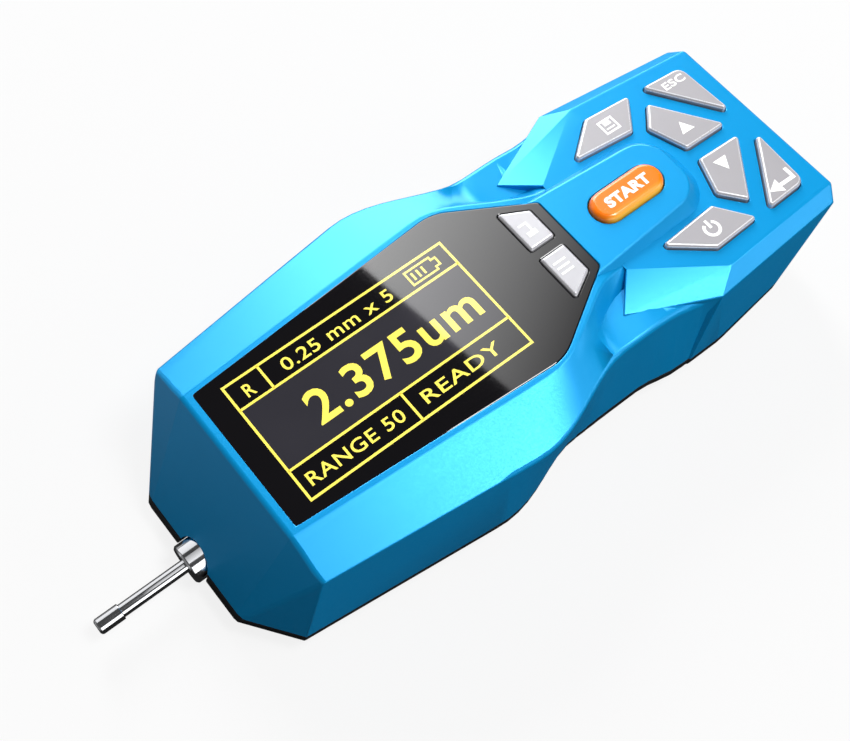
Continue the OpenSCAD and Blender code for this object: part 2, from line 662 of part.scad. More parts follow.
module base_cover() place() color("dimgray") difference() {
    union() {
        difference() {
            union() {
                intersection() {
                    skin();
                    translate([-big / 2, -big / 2, rim_z]) cube([2 * big, big, rim_h]);
                }
                belly(0);
            }
            belly(wall);
            translate([0, 0, rim_z - eps]) linear_extrude(2 * rim_h) polygon(belly_ring(1, wall));
        }
        // Tunnel that the pickup slides in, open below
        translate([belly_front_x, -channel_r - tunnel_wall, wall / 2])
            cube([channel_end_x - belly_front_x, 2 * (channel_r + tunnel_wall),
                pickup_h + channel_r + tunnel_wall - wall / 2]);
        at_case_screws() cylinder(h = seam_h, d = case_head_d + 1.2 * wall);
        translate([stand_hole_x, 0, 0]) cylinder(h = stand_hole_len + wall / 2, d = insert_d + 1.5 * wall);
        for (p = CHARGE_POSTS) translate([p.x, p.y, wall / 2])
            cylinder(h = charge_z - wall / 2, d = 2 * wall);
        // Ribs that hold the battery
        for (x = [battery_x - lay_gap - rib_t, battery_x + battery_len + lay_gap])
            translate([x, -battery_w / 2 + 2 * wall, wall / 2])
                cube([rib_t, battery_w - 4 * wall, battery_t / 2]);
    }
    rod_x(-big / 2, pickup_h, 2 * channel_r, big / 2 + channel_end_x + wall);
    translate([-big / 2, -channel_r, -wall]) cube([big / 2 + channel_end_x, 2 * channel_r, pickup_h + wall]);
    at_case_screws() {
        translate([0, 0, -wall]) cylinder(h = case_head_z + wall, d = case_head_d + 2 * hole_gap);
        cylinder(h = big, d = case_screw_d + 2 * hole_gap);
    }
    translate([stand_hole_x, 0, -wall]) cylinder(h = stand_hole_len + wall, d = insert_d + 2 * seat_gap);
    for (p = FRAME_SCREWS) both_sides() translate([p.x, p.y, frame_pilot_z])
        cylinder(h = big, d = frame_screw_d + 2 * seat_gap);
}

module display_window() place() color("black") difference() {
    plate(WINDOW, seat_z, window_t);
    both_sides() plate(grown(SOFT_KEY, key_gap), seat_z - window_t, 3 * window_t);
}
module display_panel() place() color("darkslategray")
    translate([panel_x, -panel_w / 2, panel_z]) cube([panel_len, panel_w, panel_t]);
module main_board() place() color("seagreen") difference() {
    union() {
        translate([board_x, 0, board_z]) linear_extrude(board_t) polygon([
            [0, -board_w / 2], [board_len - board_slant, -board_w / 2], [board_len, -board_rear_w / 2],
            [board_len, board_rear_w / 2], [board_len - board_slant, board_w / 2], [0, board_w / 2]]);
        both_sides() translate([soft_x + soft_len / 2, (soft_split + soft_rear_w) / 2, board_z + board_t])
            translate([0, 0, -eps]) cylinder(h = switch_h + eps, d = switch_d);
        for (i = [0 : 2]) translate([panel_x + (1 + 1.6 * i) * chip_w, -chip_w / 2, board_z - chip_h])
            cube([chip_w, chip_w, chip_h + eps]);
    }
    for (p = MAIN_SCREWS) both_sides() translate([p.x, p.y, board_z - board_t])
        cylinder(h = 3 * board_t, d = board_screw_d + 2 * hole_gap);
}
module keypad_board() place() color("seagreen") on_keypad() difference() {
    plate(KEYPAD_BOARD, -mat_drop - small_board_t, small_board_t);
    for (p = KEYPAD_SCREWS) translate([p.x, p.y, -mat_drop - 2 * small_board_t])
        cylinder(h = 3 * small_board_t, d = board_screw_d + 2 * hole_gap);
}
module key_mat() place() color("gainsboro") on_keypad() difference() {
    union() {
        plate(grown(KEYPAD_BOARD, -mat_t), -mat_drop, mat_t);
        both_sides() for (m = concat(KEY_MIDDLES, [[start_gap, 0]]))
            translate([m.x, m.y, -mat_drop + mat_t - eps]) cylinder(h = dome_h + eps, d = dome_d);
    }
    for (p = KEYPAD_SCREWS) translate([p.x, p.y, -mat_drop - mat_t])
        cylinder(h = 3 * mat_t + dome_h, d = board_boss_d + 3 * hole_gap);
}
module usb_socket() place() color("silver") difference() {
    translate([usb_x, -usb_w / 2, charge_z + small_board_t]) cube([usb_len, usb_w, usb_h]);
    translate([usb_x + 2 * usb_wall, -usb_w / 2 + usb_wall, charge_z + small_board_t + usb_wall])
        cube([usb_len, usb_w - 2 * usb_wall, usb_h - 2 * usb_wall]);
}
module charge_board() place() color("seagreen")
    translate([charge_x, -charge_w / 2, charge_z]) cube([charge_len, charge_w, small_board_t]);
module battery() place() color("slategray")
    translate([battery_x, -battery_w / 2, wall]) cube([battery_len, battery_w, battery_t]);

// Key cap with a bevel around its top
module cap(corners, z, h) {
    plate(corners, z, h - key_bevel);
    stacked([[corners, z + h - key_bevel], [grown(corners, -key_bevel), z + h]]);
}
module keypad_key(corners) place() on_keypad() {
    cap(corners, -wall - lay_gap - eps, key_rise + wall + lay_gap + eps);
    plate(grown(corners, key_flange), -wall - lay_gap - key_flange_t, key_flange_t);
}
module soft_key() place() {
    cap(SOFT_KEY, seat_z - hole_gap - eps, window_t + soft_rise + hole_gap + eps);
    plate(grown(SOFT_KEY, key_flange), soft_flange_z, key_flange_t);
}
module start_key() place() color("darkorange") {
    stem_z = keypad_z(start_x) - mat_drop + mat_t + dome_h + key_travel + 2 * hole_gap;
    plate(START_KEY, deck_h - wall - lay_gap - eps, wall + lay_gap + eps);
    stacked([[START_KEY, deck_h], [grown(START_KEY, -0.2 * start_rise), deck_h + 0.6 * start_rise],
        [grown(START_KEY, -0.7 * start_rise), deck_h + start_rise]]);
    plate(grown(START_KEY, key_flange), deck_h - wall - lay_gap - key_flange_t, key_flange_t);
    translate([start_x, 0, stem_z]) cylinder(h = deck_h - wall - key_flange_t - stem_z, d = start_w / 2);
}
module save_key() color("silver") keypad_key(SAVE_KEY);
module up_key() color("silver") keypad_key(UP_KEY);
module escape_key() color("silver") keypad_key(ESCAPE_KEY);
module power_key() color("silver") mirror([0, 1, 0]) keypad_key(SAVE_KEY);
module down_key() color("silver") mirror([0, 1, 0]) keypad_key(UP_KEY);
module enter_key() color("silver") mirror([0, 1, 0]) keypad_key(ESCAPE_KEY);
module left_soft_key() color("lightgray") soft_key();
module right_soft_key() color("lightgray") mirror([0, 1, 0]) soft_key();

// Frame that carries the screw, the rods and the motor
module drive_frame() place() color("lightsteelblue") difference() {
    union() {
        translate([frame_front_x, -frame_w / 2, wall])
            cube([motor_x - frame_front_x, frame_w, frame_plate_t]);
        for (x = [frame_front_x, frame_rear_x]) translate([x, -frame_w / 2, wall])
            cube([frame_wall, frame_w, frame_top_z - wall]);
        translate([motor_x - motor_plate_t, -motor_d / 2 - wall, wall])
            cube([motor_plate_t, motor_d + 2 * wall, frame_top_z - wall]);
    }
    translate([frame_front_x - wall, -bay_half, 0])
        cube([frame_rear_x - frame_front_x + wall, 2 * bay_half, pickup_h]);
    rod_x(frame_front_x - wall, pickup_h, 2 * bay_half, frame_wall + 2 * wall);
    both_sides() translate([0, rod_pitch / 2, 0]) guide_rod(rod_d + 2 * seat_gap);
    rod_x(frame_front_x - wall, screw_h, bush_d + 2 * seat_gap,
        frame_rear_x - frame_front_x + frame_wall + 2 * wall);
    rod_x(motor_x - 2 * motor_plate_t, screw_h, 2 * motor_shaft_d, 3 * motor_plate_t);
    for (p = FRAME_SCREWS) both_sides() translate([p.x, p.y, 0])
        cylinder(h = wall + 2 * frame_plate_t, d = frame_screw_d + 2 * hole_gap);
}
module guide_rod(d) rod_x(frame_front_x + frame_wall / 2, screw_h, d, frame_rear_x - frame_front_x);
module guide_rods() place() color("silver") both_sides() translate([0, rod_pitch / 2, 0]) guide_rod(rod_d);
module screw_bushes() place() color("goldenrod") for (x = [frame_front_x, frame_rear_x]) difference() {
    rod_x(x, screw_h, bush_d, frame_wall);
    rod_x(x - wall, screw_h, journal_d + 2 * run_gap, frame_wall + 2 * wall);
}
module lead_screw() place() color("gray") {
    rod_x(frame_front_x, screw_h, journal_d, coupling_x + coupling_len / 2 - frame_front_x);
    rod_x(frame_front_x + frame_wall + hole_gap, screw_h, screw_d,
        frame_rear_x - frame_front_x - frame_wall - 2 * hole_gap);
}
module shaft_coupling() place() color("silver") difference() {
    rod_x(coupling_x, screw_h, coupling_d, coupling_len);
    rod_x(coupling_x - wall, screw_h, journal_d + 2 * seat_gap, coupling_len / 2 + wall);
    rod_x(coupling_x + coupling_len / 2 - eps, screw_h, motor_shaft_d + 2 * seat_gap, coupling_len);
}
module motor_shaft() place() color("gray")
    rod_x(coupling_x + coupling_len / 2 + hole_gap, screw_h, motor_shaft_d,
        motor_x + 1.5 * motor_shaft_d - coupling_x - coupling_len / 2);
module drive_motor() place() color("silver") difference() {
    union() {
        rod_x(motor_x, screw_h, motor_d, motor_len);
        rod_x(motor_x + motor_len - eps, screw_h, motor_d / 3, motor_plate_t);
    }
    rod_x(motor_x - wall, screw_h, motor_shaft_d + 2 * run_gap, 2 * motor_shaft_d + wall);
}
module carriage() place() color("dimgray") difference() {
    top_half = nut_d / 2 + 0.6 * wall;
    union() {
        translate([carriage_x, -(rod_pitch + rod_d) / 2 - 0.75 * wall, screw_h - top_half])
            cube([carriage_len, rod_pitch + rod_d + 1.5 * wall, 2 * top_half]);
        translate([carriage_x, -bay_half + free_gap, carriage_low_z])
            cube([carriage_len, 2 * (bay_half - free_gap), screw_h - top_half - carriage_low_z + eps]);
    }
    both_sides() translate([0, rod_pitch / 2, 0])
        rod_x(carriage_x - wall, screw_h, rod_d + 2 * run_gap, carriage_len + 2 * wall);
    rod_x(carriage_x - wall, screw_h, nut_d + 2 * seat_gap, carriage_len + 2 * wall);
    rod_x(carriage_x - wall, pickup_h, socket_d + 2 * seat_gap, socket_depth + wall + seat_gap);
}
module drive_nut() place() color("goldenrod") difference() {
    rod_x(carriage_x, screw_h, nut_d, carriage_len);
    rod_x(carriage_x - wall, screw_h, screw_d + 2 * run_gap, carriage_len + 2 * wall);
}
module pickup_socket() place() color("black") difference() {
    rod_x(socket_x, pickup_h, socket_d, carriage_x + socket_depth - socket_x);
    rod_x(socket_x - wall, pickup_h, jack_d + 2 * seat_gap, jack_len + wall);
}

// Pickup: collar and body, guard tube, skid nose, and the stylus inside
module pickup_body() place() color("silver") difference() {
    turned_x(-collar_out, pickup_h) polygon([
        [0, 0], [collar_d / 2 - collar_bevel, 0], [collar_d / 2, collar_bevel],
        [collar_d / 2, collar_len - collar_bevel], [pickup_d / 2, collar_len], [pickup_d / 2, pickup_len],
        [0, pickup_len]]);
    rod_x(-collar_out - wall, pickup_h, tube_d + 2 * seat_gap, collar_len + wall);
    rod_x(-collar_out + collar_len - tube_seat, pickup_h, pickup_bore_d, pickup_len);
    pin_y(pivot_x, pickup_h, pin_d + 2 * seat_gap, 2 * pickup_d);
}
module guard_tube() place() color("silver") difference() {
    rod_x(skid_x + skid_len - skid_socket, pickup_h, tube_d, skid_socket + tube_len + collar_len - tube_seat);
    rod_x(skid_x, pickup_h, tube_d - 2 * tube_wall, skid_len + tube_len + 2 * collar_len);
}
module skid_nose() place() color("silver") difference() {
    turned_x(skid_x, pickup_h) polygon([
        [0, 0], [skid_d / 2 - 0.6, 0], [skid_d / 2 - 0.2, 0.2], [skid_d / 2, 0.6],
        [skid_d / 2, skid_len], [0, skid_len]]);
    rod_x(skid_x + tip_gap / 2, pickup_h, tube_d - 2 * tube_wall, skid_len);
    rod_x(skid_x + skid_len - skid_socket, pickup_h, tube_d + 2 * seat_gap, skid_len);
    translate([tip_x - 1.2 * tip_d, -tip_d, pickup_h - skid_d]) cube([2.4 * tip_d, 2 * tip_d, skid_d]);
}
module stylus_arm() place() color("gray") difference() {
    union() {
        rod_x(tip_x - tip_d, pickup_h, arm_d, coil_x + coil_len - tip_x);
        pin_y(pivot_x, pickup_h, hub_d, hub_len);
    }
    pin_y(pivot_x, pickup_h, pin_d + 2 * run_gap, 2 * hub_len);
    translate([tip_x, 0, pickup_h - hub_d]) cylinder(h = 2 * hub_d, d = tip_d + 2 * seat_gap);
}
module stylus_tip() place() color("white") translate([tip_x, 0, pickup_h - skid_d / 2 - tip_out]) {
    cylinder(h = 0.8 * tip_d, d1 = 0.12 * tip_d, d2 = tip_d);
    translate([0, 0, 0.8 * tip_d - eps]) cylinder(h = skid_d / 2 + tip_out - 0.4 * tip_d, d = tip_d);
}
module stylus_pivot() place() color("silver") pin_y(pivot_x, pickup_h, pin_d, pickup_d - 3 * hole_gap);
module pickup_coil() place() color("sienna") difference() {
    rod_x(coil_x, pickup_h, pickup_bore_d - 2 * seat_gap, coil_len);
    rod_x(coil_x - wall, pickup_h, 2.5 * arm_d, coil_len + 2 * wall);
}
module pickup_plug() place() color("goldenrod") {
    rod_x(pickup_rear_x - jack_d, pickup_h, pickup_bore_d - 2 * seat_gap, jack_d);
    rod_x(pickup_rear_x - eps, pickup_h, jack_d, jack_len);
}

module screw(z, d, head_d, head_h, l) {
    translate([0, 0, z - head_h]) cylinder(h = head_h, d = head_d);
    translate([0, 0, z - eps]) cylinder(h = l + eps, d = d);
}
module case_screws() place() color("dimgray") at_case_screws()
    screw(case_head_z, case_screw_d, case_head_d, case_head_d / 3, boss_top_z - 2 * wall - case_head_z);
module board_screws() place() color("silver") {
    for (p = MAIN_SCREWS) both_sides() translate([p.x, p.y, 0])
        screw(board_z, board_screw_d, 1.9 * board_screw_d, small_board_t, 2 * board_t);
    on_keypad() for (p = KEYPAD_SCREWS) translate([p.x, p.y, 0])
        screw(-mat_drop - small_board_t, board_screw_d, 1.9 * board_screw_d, small_board_t, 2 * board_t);
}
module frame_screws() place() color("silver") for (p = FRAME_SCREWS) both_sides()
    translate([p.x, p.y, wall + frame_plate_t]) mirror([0, 0, 1])
        screw(0, frame_screw_d, 1.9 * frame_screw_d, small_board_t, wall + frame_plate_t - frame_pilot_z);
module stand_insert() place() color("goldenrod") translate([stand_hole_x, 0, 0]) difference() {
    cylinder(h = stand_hole_len, d = insert_d);
    translate([0, 0, -wall]) cylinder(h = stand_hole_len + 2 * wall, d = stand_hole_d);
}

top_shell();
base_cover();
display_window();
display_panel();
main_board();
keypad_board();
key_mat();
charge_board();
usb_socket();
battery();
start_key();
save_key();
up_key();
escape_key();
power_key();
down_key();
enter_key();
left_soft_key();
right_soft_key();
drive_frame();
guide_rods();
screw_bushes();
drive_motor();
motor_shaft();
shaft_coupling();
lead_screw();
carriage();
drive_nut();
pickup_socket();
pickup_body();
guard_tube();
skid_nose();
stylus_arm();
stylus_tip();
stylus_pivot();
pickup_coil();
pickup_plug();
case_screws();
board_screws();
frame_screws();
stand_insert();
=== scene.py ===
"""Looks of a handheld surface roughness tester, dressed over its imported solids."""

import json
import logging
import math
from dataclasses import dataclass
from enum import Enum
from typing import Any, Optional, Sequence

import bmesh
import bpy
import numpy as np
from mathutils import Matrix, Vector
from mathutils.bvhtree import BVHTree

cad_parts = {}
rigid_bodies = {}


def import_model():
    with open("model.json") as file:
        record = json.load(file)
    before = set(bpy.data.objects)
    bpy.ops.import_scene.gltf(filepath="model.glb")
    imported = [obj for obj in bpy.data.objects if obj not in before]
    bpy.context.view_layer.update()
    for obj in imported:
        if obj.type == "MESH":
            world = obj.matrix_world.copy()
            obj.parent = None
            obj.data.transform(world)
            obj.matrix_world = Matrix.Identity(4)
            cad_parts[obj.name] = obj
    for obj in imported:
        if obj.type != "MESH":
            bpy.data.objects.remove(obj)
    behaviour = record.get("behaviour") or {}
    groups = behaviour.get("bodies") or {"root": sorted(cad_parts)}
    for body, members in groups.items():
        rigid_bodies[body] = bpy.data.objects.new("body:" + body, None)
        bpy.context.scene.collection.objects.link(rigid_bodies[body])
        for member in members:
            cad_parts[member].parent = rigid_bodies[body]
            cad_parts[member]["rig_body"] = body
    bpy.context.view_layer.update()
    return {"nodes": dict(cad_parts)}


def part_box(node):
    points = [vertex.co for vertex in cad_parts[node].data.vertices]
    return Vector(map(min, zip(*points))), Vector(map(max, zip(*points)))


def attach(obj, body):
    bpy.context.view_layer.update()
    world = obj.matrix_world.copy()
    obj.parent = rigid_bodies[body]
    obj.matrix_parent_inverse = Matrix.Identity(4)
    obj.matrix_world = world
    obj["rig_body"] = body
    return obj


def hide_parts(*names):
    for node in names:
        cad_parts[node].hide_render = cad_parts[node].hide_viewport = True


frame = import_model()
LOG = logging.getLogger("roughness_tester")
MM = 0.001
# Distance from the housing's nose edge to the middle of its base, and height of the window's deck.
NOSE_TO_ORIGIN_MM = 79.0
DECK_MM = 35.0
# Front edge of the keypad behind the nose edge, its height and its fall towards the rear.
KEYPAD_X_MM, KEYPAD_Z_MM, KEYPAD_TILT_DEG = 104.8, 33.3, 3.76
# How far each kind of key stands proud of the face around it.
KEY_RISE_MM, SOFT_KEY_RISE_MM, START_RISE_MM = 1.2, 0.7, 1.4
# Print reaches this far into the face that carries it, so that no gap shows below it.
SINK_MM = 0.05
# Built-in letters: height of a capital as a share of their size, spacing, and steps of a curve.
CAPITAL_SHARE, LETTER_SPACE, LETTER_STEPS = 0.73, 1.07, 4
# Corners closer than this are one corner, in metres.
WELD_M = 2e-6
# Weight at which Blender's shading follows the widest face alone.
FULL_WEIGHT = 100
# Inputs of the node that maps one range to another.
ENDS = ("From Min", "From Max", "To Min", "To Max")
WHITE = (1.0, 1.0, 1.0, 1.0)

Pair = tuple[float, float]
Triple = tuple[float, float, float]
# Points in mm and the faces between them.
Shape = tuple[np.ndarray, list[tuple[int, ...]]]
# Width of a rounding in mm, bend in degrees from which an edge gets it, and its steps.
Rounding = tuple[float, float, int]


def hex_linear(code: str) -> tuple[float, float, float, float]:
    """Turns an sRGB hex colour to linear light by the sRGB curve.

    Args:
        code: Colour as "#RRGGBB".

    Returns:
        Red, green and blue as linear values, and full alpha.
    """
    srgb = np.array([int(code[i : i + 2], 16) for i in (1, 3, 5)]) / 255.0
    linear = np.where(srgb <= 0.04045, srgb / 12.92, ((srgb + 0.055) / 1.055) ** 2.4)
    return (*map(float, linear), 1.0)


def add_node(
    tree: bpy.types.NodeTree,
    kind: str,
    inputs: Optional[dict[Any, Any]] = None,
    **settings: Any,
) -> bpy.types.Node:
    """Adds one shader node with its settings, values and links.

    Args:
        tree: Node tree that takes the node.
        kind: Blender's name of the node type.
        inputs: Input name or number to a value, or to the output it links from.
        settings: Attributes of the node itself.

    Returns:
        The new node.
    """
    node = tree.nodes.new(kind)
    for name, value in settings.items():
        setattr(node, name, value)
    for key, value in (inputs or {}).items():
        if isinstance(value, bpy.types.NodeSocket):
            tree.links.new(value, node.inputs[key])
        else:
            node.inputs[key].default_value = value
    return node


def empty_tree(holder: bpy.types.ID) -> bpy.types.NodeTree:
    """Gives a material or a world an empty node tree.

    Args:
        holder: The material or the world.

    Returns:
        The tree.
    """
    holder.use_nodes = True
    holder.node_tree.nodes.clear()
    return holder.node_tree


def slope(tree: bpy.types.NodeTree, way: Triple, reach: Pair, levels: Pair) -> bpy.types.NodeSocket:
    """Gives a value that changes evenly along a direction, by the place's dot product with it.

    Args:
        tree: Node tree of the material.
        way: Direction.
        reach: Start and end of the change along it, in metres.
        levels: Value at the start and at the end.

    Returns:
        Output with the value.
    """
    place = add_node(tree, "ShaderNodeTexCoord").outputs["Object"]
    along = add_node(tree, "ShaderNodeVectorMath", {0: place, 1: way}, operation="DOT_PRODUCT")
    ends = dict(zip(ENDS, reach + levels))
    change = add_node(tree, "ShaderNodeMapRange", {"Value": along.outputs["Value"], **ends})
    return change.outputs["Result"]


def put(name: str, data: bpy.types.ID) -> bpy.types.Object:
    """Puts a mesh, letters, a lamp or a camera into the scene.

    Args:
        name: Name of the new object.
        data: What the object shows.

    Returns:
        The object.
    """
    thing = bpy.data.objects.new(name, data)
    bpy.context.scene.collection.objects.link(thing)
    return thing


@dataclass(frozen=True)
class Finish:
    """One real material and the way its surface was made.

    The colour drifts between two near tones in soft patches, the roughness
    follows a finer pattern, and the same fine grain lifts the surface.
    """

    name: str
    slot: str
    colour: str
    shade: str
    roughness: float
    metallic: float = 0.0
    ior: float = 1.5
    # Patches of drifting colour. The real grain, about 0.1 mm, is too fine for the render, so it
    # is drawn as coarse as it needs to show.
    patch_mm: float = 12.0
    grain_mm: float = 0.5
    grain_lift_mm: float = 0.004
    rough_spread: float = 0.06
    # Stretch of the patterns along the part, and strength of a display's own light.
    streak: float = 1.0
    glow: float = 0.0
    # Colour of a painted glow, and the stretch across the part (along Y) over which it takes over.
    painted_glow: str = ""
    painted_glow_mm: Pair = (0.0, 1.0)
    # Range of the noise that the roughness follows, and the lowest roughness.
    noise_range: Pair = (0.25, 0.75)
    least_rough: float = 0.02

    def material(self) -> bpy.types.Material:
        """Builds the material once and hands the same one out again.

        Returns:
            Material with a Principled shader driven by Object coordinates.
        """
        made = bpy.data.materials.get(self.name)
        if made:
            return made
        made = bpy.data.materials.new(self.name)
        tree = empty_tree(made)
        place = add_node(tree, "ShaderNodeTexCoord").outputs["Object"]
        if self.streak != 1.0:
            stretch = {"Vector": place, "Scale": (1.0 / self.streak, 1.0, 1.0)}
            place = add_node(tree, "ShaderNodeMapping", stretch).outputs["Vector"]
        patch, grain = (
            add_node(
                tree, "ShaderNodeTexNoise",
                {"Vector": place, "Scale": 1.0 / (size_mm * MM), "Detail": detail},
            ).outputs["Fac"]
            for size_mm, detail in ((self.patch_mm, 2.0), (self.grain_mm, 1.0))
        )
        colour = add_node(
            tree, "ShaderNodeMix",
            {"Factor": patch, 6: hex_linear(self.colour), 7: hex_linear(self.shade)},
            data_type="RGBA",
        ).outputs[2]
        # Painted glow: the colour turns to a lighter second colour across the part towards one
        # edge.
        if self.painted_glow:
            across = add_node(tree, "ShaderNodeSeparateXYZ", {0: place}).outputs["Y"]
            start, end = (at * MM for at in self.painted_glow_mm)
            turn = add_node(
                tree, "ShaderNodeMapRange", {"Value": across, "From Min": start, "From Max": end},
                interpolation_type="SMOOTHSTEP",
            )
            colour = add_node(
                tree, "ShaderNodeMix",
                {"Factor": turn.outputs["Result"], 6: colour, 7: hex_linear(self.painted_glow)},
                data_type="RGBA",
            ).outputs[2]
        least = max(self.roughness - self.rough_spread, self.least_rough)
        ends = zip(ENDS, (*self.noise_range, least, self.roughness + self.rough_spread))
        rough = add_node(tree, "ShaderNodeMapRange", {"Value": grain, **dict(ends)})
        bump = add_node(
            tree, "ShaderNodeBump",
            {"Height": grain, "Strength": 1.0, "Distance": self.grain_lift_mm * MM},
        )
        shader = add_node(
            tree, "ShaderNodeBsdfPrincipled",
            {
                "Base Color": colour,
                "Roughness": rough.outputs["Result"],
                "Normal": bump.outputs["Normal"],
                "Metallic": self.metallic,
                "IOR": self.ior,
            },
        )
        if self.glow:
            tree.links.new(colour, shader.inputs["Emission Color"])
            shader.inputs["Emission Strength"].default_value = self.glow
        add_node(tree, "ShaderNodeOutputMaterial", {"Surface": shader.outputs["BSDF"]})
        made.diffuse_color = hex_linear(self.colour)
        return made


# Moulded ABS with a fine spark-eroded texture: even azure with a satin sheen.
BLUE_ABS = Finish(
    "moulded_blue_abs", "blue_abs", "#0090CE", "#008CC9", 0.33, metallic=0.22, ior=1.3,
    grain_lift_mm=0.001, rough_spread=0.03,
)
# Moulded black ABS: deep and a little dull, so that the base reads as one dark band.
BLACK_ABS = Finish("moulded_black_abs", "black_abs", "#0E0F10", "#0A0B0C", 0.6, ior=1.4)
# Cast acrylic, tinted black and polished: a dark mirror for the room.
BLACK_ACRYLIC = Finish(
    "polished_black_acrylic", "black_acrylic", "#0B0A0C", "#0E0D10", 0.035,
    grain_lift_mm=0.0, rough_spread=0.012,
)
# Unlit display field behind the polished front: charcoal under the same gloss.
DISPLAY_FIELD = Finish(
    "unlit_display_film", "black_acrylic", "#302F35", "#2B2A30", 0.035,
    grain_lift_mm=0.0, rough_spread=0.012,
)
# Lit display segments: pale yellow light seen through the polished front.
DISPLAY_LIGHT = Finish(
    "lit_display_segment", "display_glass", "#E9D95E", "#E2D052", 0.05, glow=0.35,
    grain_lift_mm=0.0, rough_spread=0.012,
)
# Painted ABS keys: mid grey with a weak silver flake.
KEY_GREY = Finish(
    "painted_grey_abs", "key_grey", "#A19FA3", "#9A989C", 0.36, grain_mm=0.3, metallic=0.15,
)
# Painted ABS soft keys: lighter silver.
SOFT_KEY_SILVER = Finish(
    "painted_silver_abs", "soft_key_silver", "#B6B6BA", "#ACACB1", 0.34,
    grain_mm=0.3, metallic=0.15,
)
# Printed white ink on the keys: chalky and flat.
WHITE_INK = Finish(
    "printed_white_ink", "key_grey", "#F6F6F4", "#EFEFED", 0.55, grain_lift_mm=0.001
)
# Tinted orange resin of the start key, with a painted amber glow along its near edge.
START_ORANGE = Finish(
    "tinted_orange_resin", "start_orange", "#F77300", "#F87A04", 0.22, grain_lift_mm=0.001,
    painted_glow="#FFC23C", painted_glow_mm=(-2.0, -4.6),
)
# Paler silver on the keys' rounded edges: a painted highlight, as if the edges caught the light.
KEY_EDGE_HIGHLIGHT = Finish(
    "painted_highlight_key_edge", "key_grey", "#D6D5DA", "#CCCBD0", 0.3, grain_mm=0.3, metallic=0.25
)
# Chrome plate over turned steel: mirror with faint lines along the axis.
CHROME = Finish(
    "polished_chrome_plate", "chrome", "#E6E7EA", "#DADBDF", 0.09, metallic=1.0,
    streak=8.0, rough_spread=0.03, grain_lift_mm=0.0006,
)
# Ground steel: grey mirror broken by grinding lines.
STEEL = Finish("ground_steel", "steel", "#B9BBBE", "#A6A8AB", 0.28, metallic=1.0, streak=8.0)
# Turned brass: warm yellow metal with a soft gloss.
BRASS = Finish("turned_brass", "brass", "#C8A45A", "#B88F46", 0.25, metallic=1.0)
# Enamelled copper wire of the coil: brown-red under varnish.
COPPER = Finish("enamelled_copper_wire", "copper", "#A85A32", "#8E4626", 0.35, metallic=1.0)
# Cast aluminium: pale grey with a dull skin.
CAST_ALLOY = Finish("cast_aluminium", "cast_alloy", "#A9ACB0", "#9A9DA1", 0.42, metallic=1.0)
# Glass-fibre laminate under green solder mask: even green with a soft gloss.
LAMINATE = Finish("green_board_laminate", "board_laminate", "#1C6B45", "#175A3B", 0.35)
# Milky silicone rubber of the key mat: pale and dull.
SILICONE = Finish("translucent_silicone", "silicone", "#D6D8D8", "#C8CACA", 0.5)
# Laminated foil pouch of the battery: blue-grey with a soft sheen.
BATTERY_WRAP = Finish("battery_foil", "battery_wrap", "#8F979E", "#838B92", 0.35)
# Dark glass of the display panel: near black with a clear gloss.
DISPLAY_GLASS = Finish("display_glass", "display_glass", "#2A2A2E", "#232327", 0.1)
# Ground diamond of the stylus tip: hard sparkle.
DIAMOND = Finish("diamond_tip", "diamond", "#F2F6FA", "#E4ECF4", 0.08, ior=2.42)
NODE_FINISHES = (
    BLUE_ABS, BLACK_ABS, BLACK_ACRYLIC, KEY_GREY, SOFT_KEY_SILVER, START_ORANGE, CHROME,
    STEEL, BRASS, COPPER, CAST_ALLOY, LAMINATE, SILICONE, BATTERY_WRAP, DISPLAY_GLASS, DIAMOND,
)


@dataclass(frozen=True)
class Plane:
    """A flat face of the tester that carries print: along, across and up in mm.

    Attributes:
        x_mm: Place of its origin behind the nose edge.
        z_mm: Height of its origin above the base.
        tilt_deg: Fall of the face towards the rear.
    """

    x_mm: float
    z_mm: float
    tilt_deg: float = 0.0

    def place(self, flat: np.ndarray) -> np.ndarray:
        """Carries points from the face to the part's frame by a turn and a shift.

        Args:
            flat: Points as rows of along, across and up, in mm.

        Returns:
            Points in metres.
        """
        turn = math.radians(self.tilt_deg)
        along, across, up = flat[:, 0], flat[:, 1], flat[:, 2]
        x = self.x_mm - NOSE_TO_ORIGIN_MM + along * math.cos(turn) + up * math.sin(turn)
        z = self.z_mm - along * math.sin(turn) + up * math.cos(turn)
        return np.column_stack([x, across, z]) * MM


# The part's own frame, and the faces that carry print.
PART = Plane(NOSE_TO_ORIGIN_MM, 0.0)
DECK = Plane(0.0, DECK_MM)
SOFT_TOP = Plane(0.0, DECK_MM + SOFT_KEY_RISE_MM)
START_TOP = Plane(0.0, DECK_MM + START_RISE_MM)
KEY_TOP = Plane(
    KEYPAD_X_MM + KEY_RISE_MM * math.sin(math.radians(KEYPAD_TILT_DEG)),
    KEYPAD_Z_MM + KEY_RISE_MM * math.cos(math.radians(KEYPAD_TILT_DEG)),
    KEYPAD_TILT_DEG,
)


def make_piece(
    name: str, shapes: Sequence[Shape], face: Plane, finish: Finish, body: str
) -> bpy.types.Object:
    """Joins shapes on a face to one mesh piece that rides a body.

    Args:
        name: Name of the piece.
        shapes: Shapes whose points lie along, across and up from the face.
        face: Face that the points are measured from.
        finish: Finish of the whole piece.
        body: Body that carries it.

    Returns:
        The piece.
    """
    points = face.place(np.vstack([points for points, _ in shapes]))
    starts = np.cumsum([0] + [len(points) for points, _ in shapes])
    faces = [[int(s + c) for c in f] for s, (_, fs) in zip(starts, shapes) for f in fs]
    mesh = bpy.data.meshes.new(name)
    mesh.from_pydata(points.tolist(), [], faces)
    mesh.materials.append(finish.material())
    piece = put(name, mesh)
    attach(piece, body)
    LOG.info("piece %s: %d faces on %s", name, len(mesh.polygons), body)
    return piece


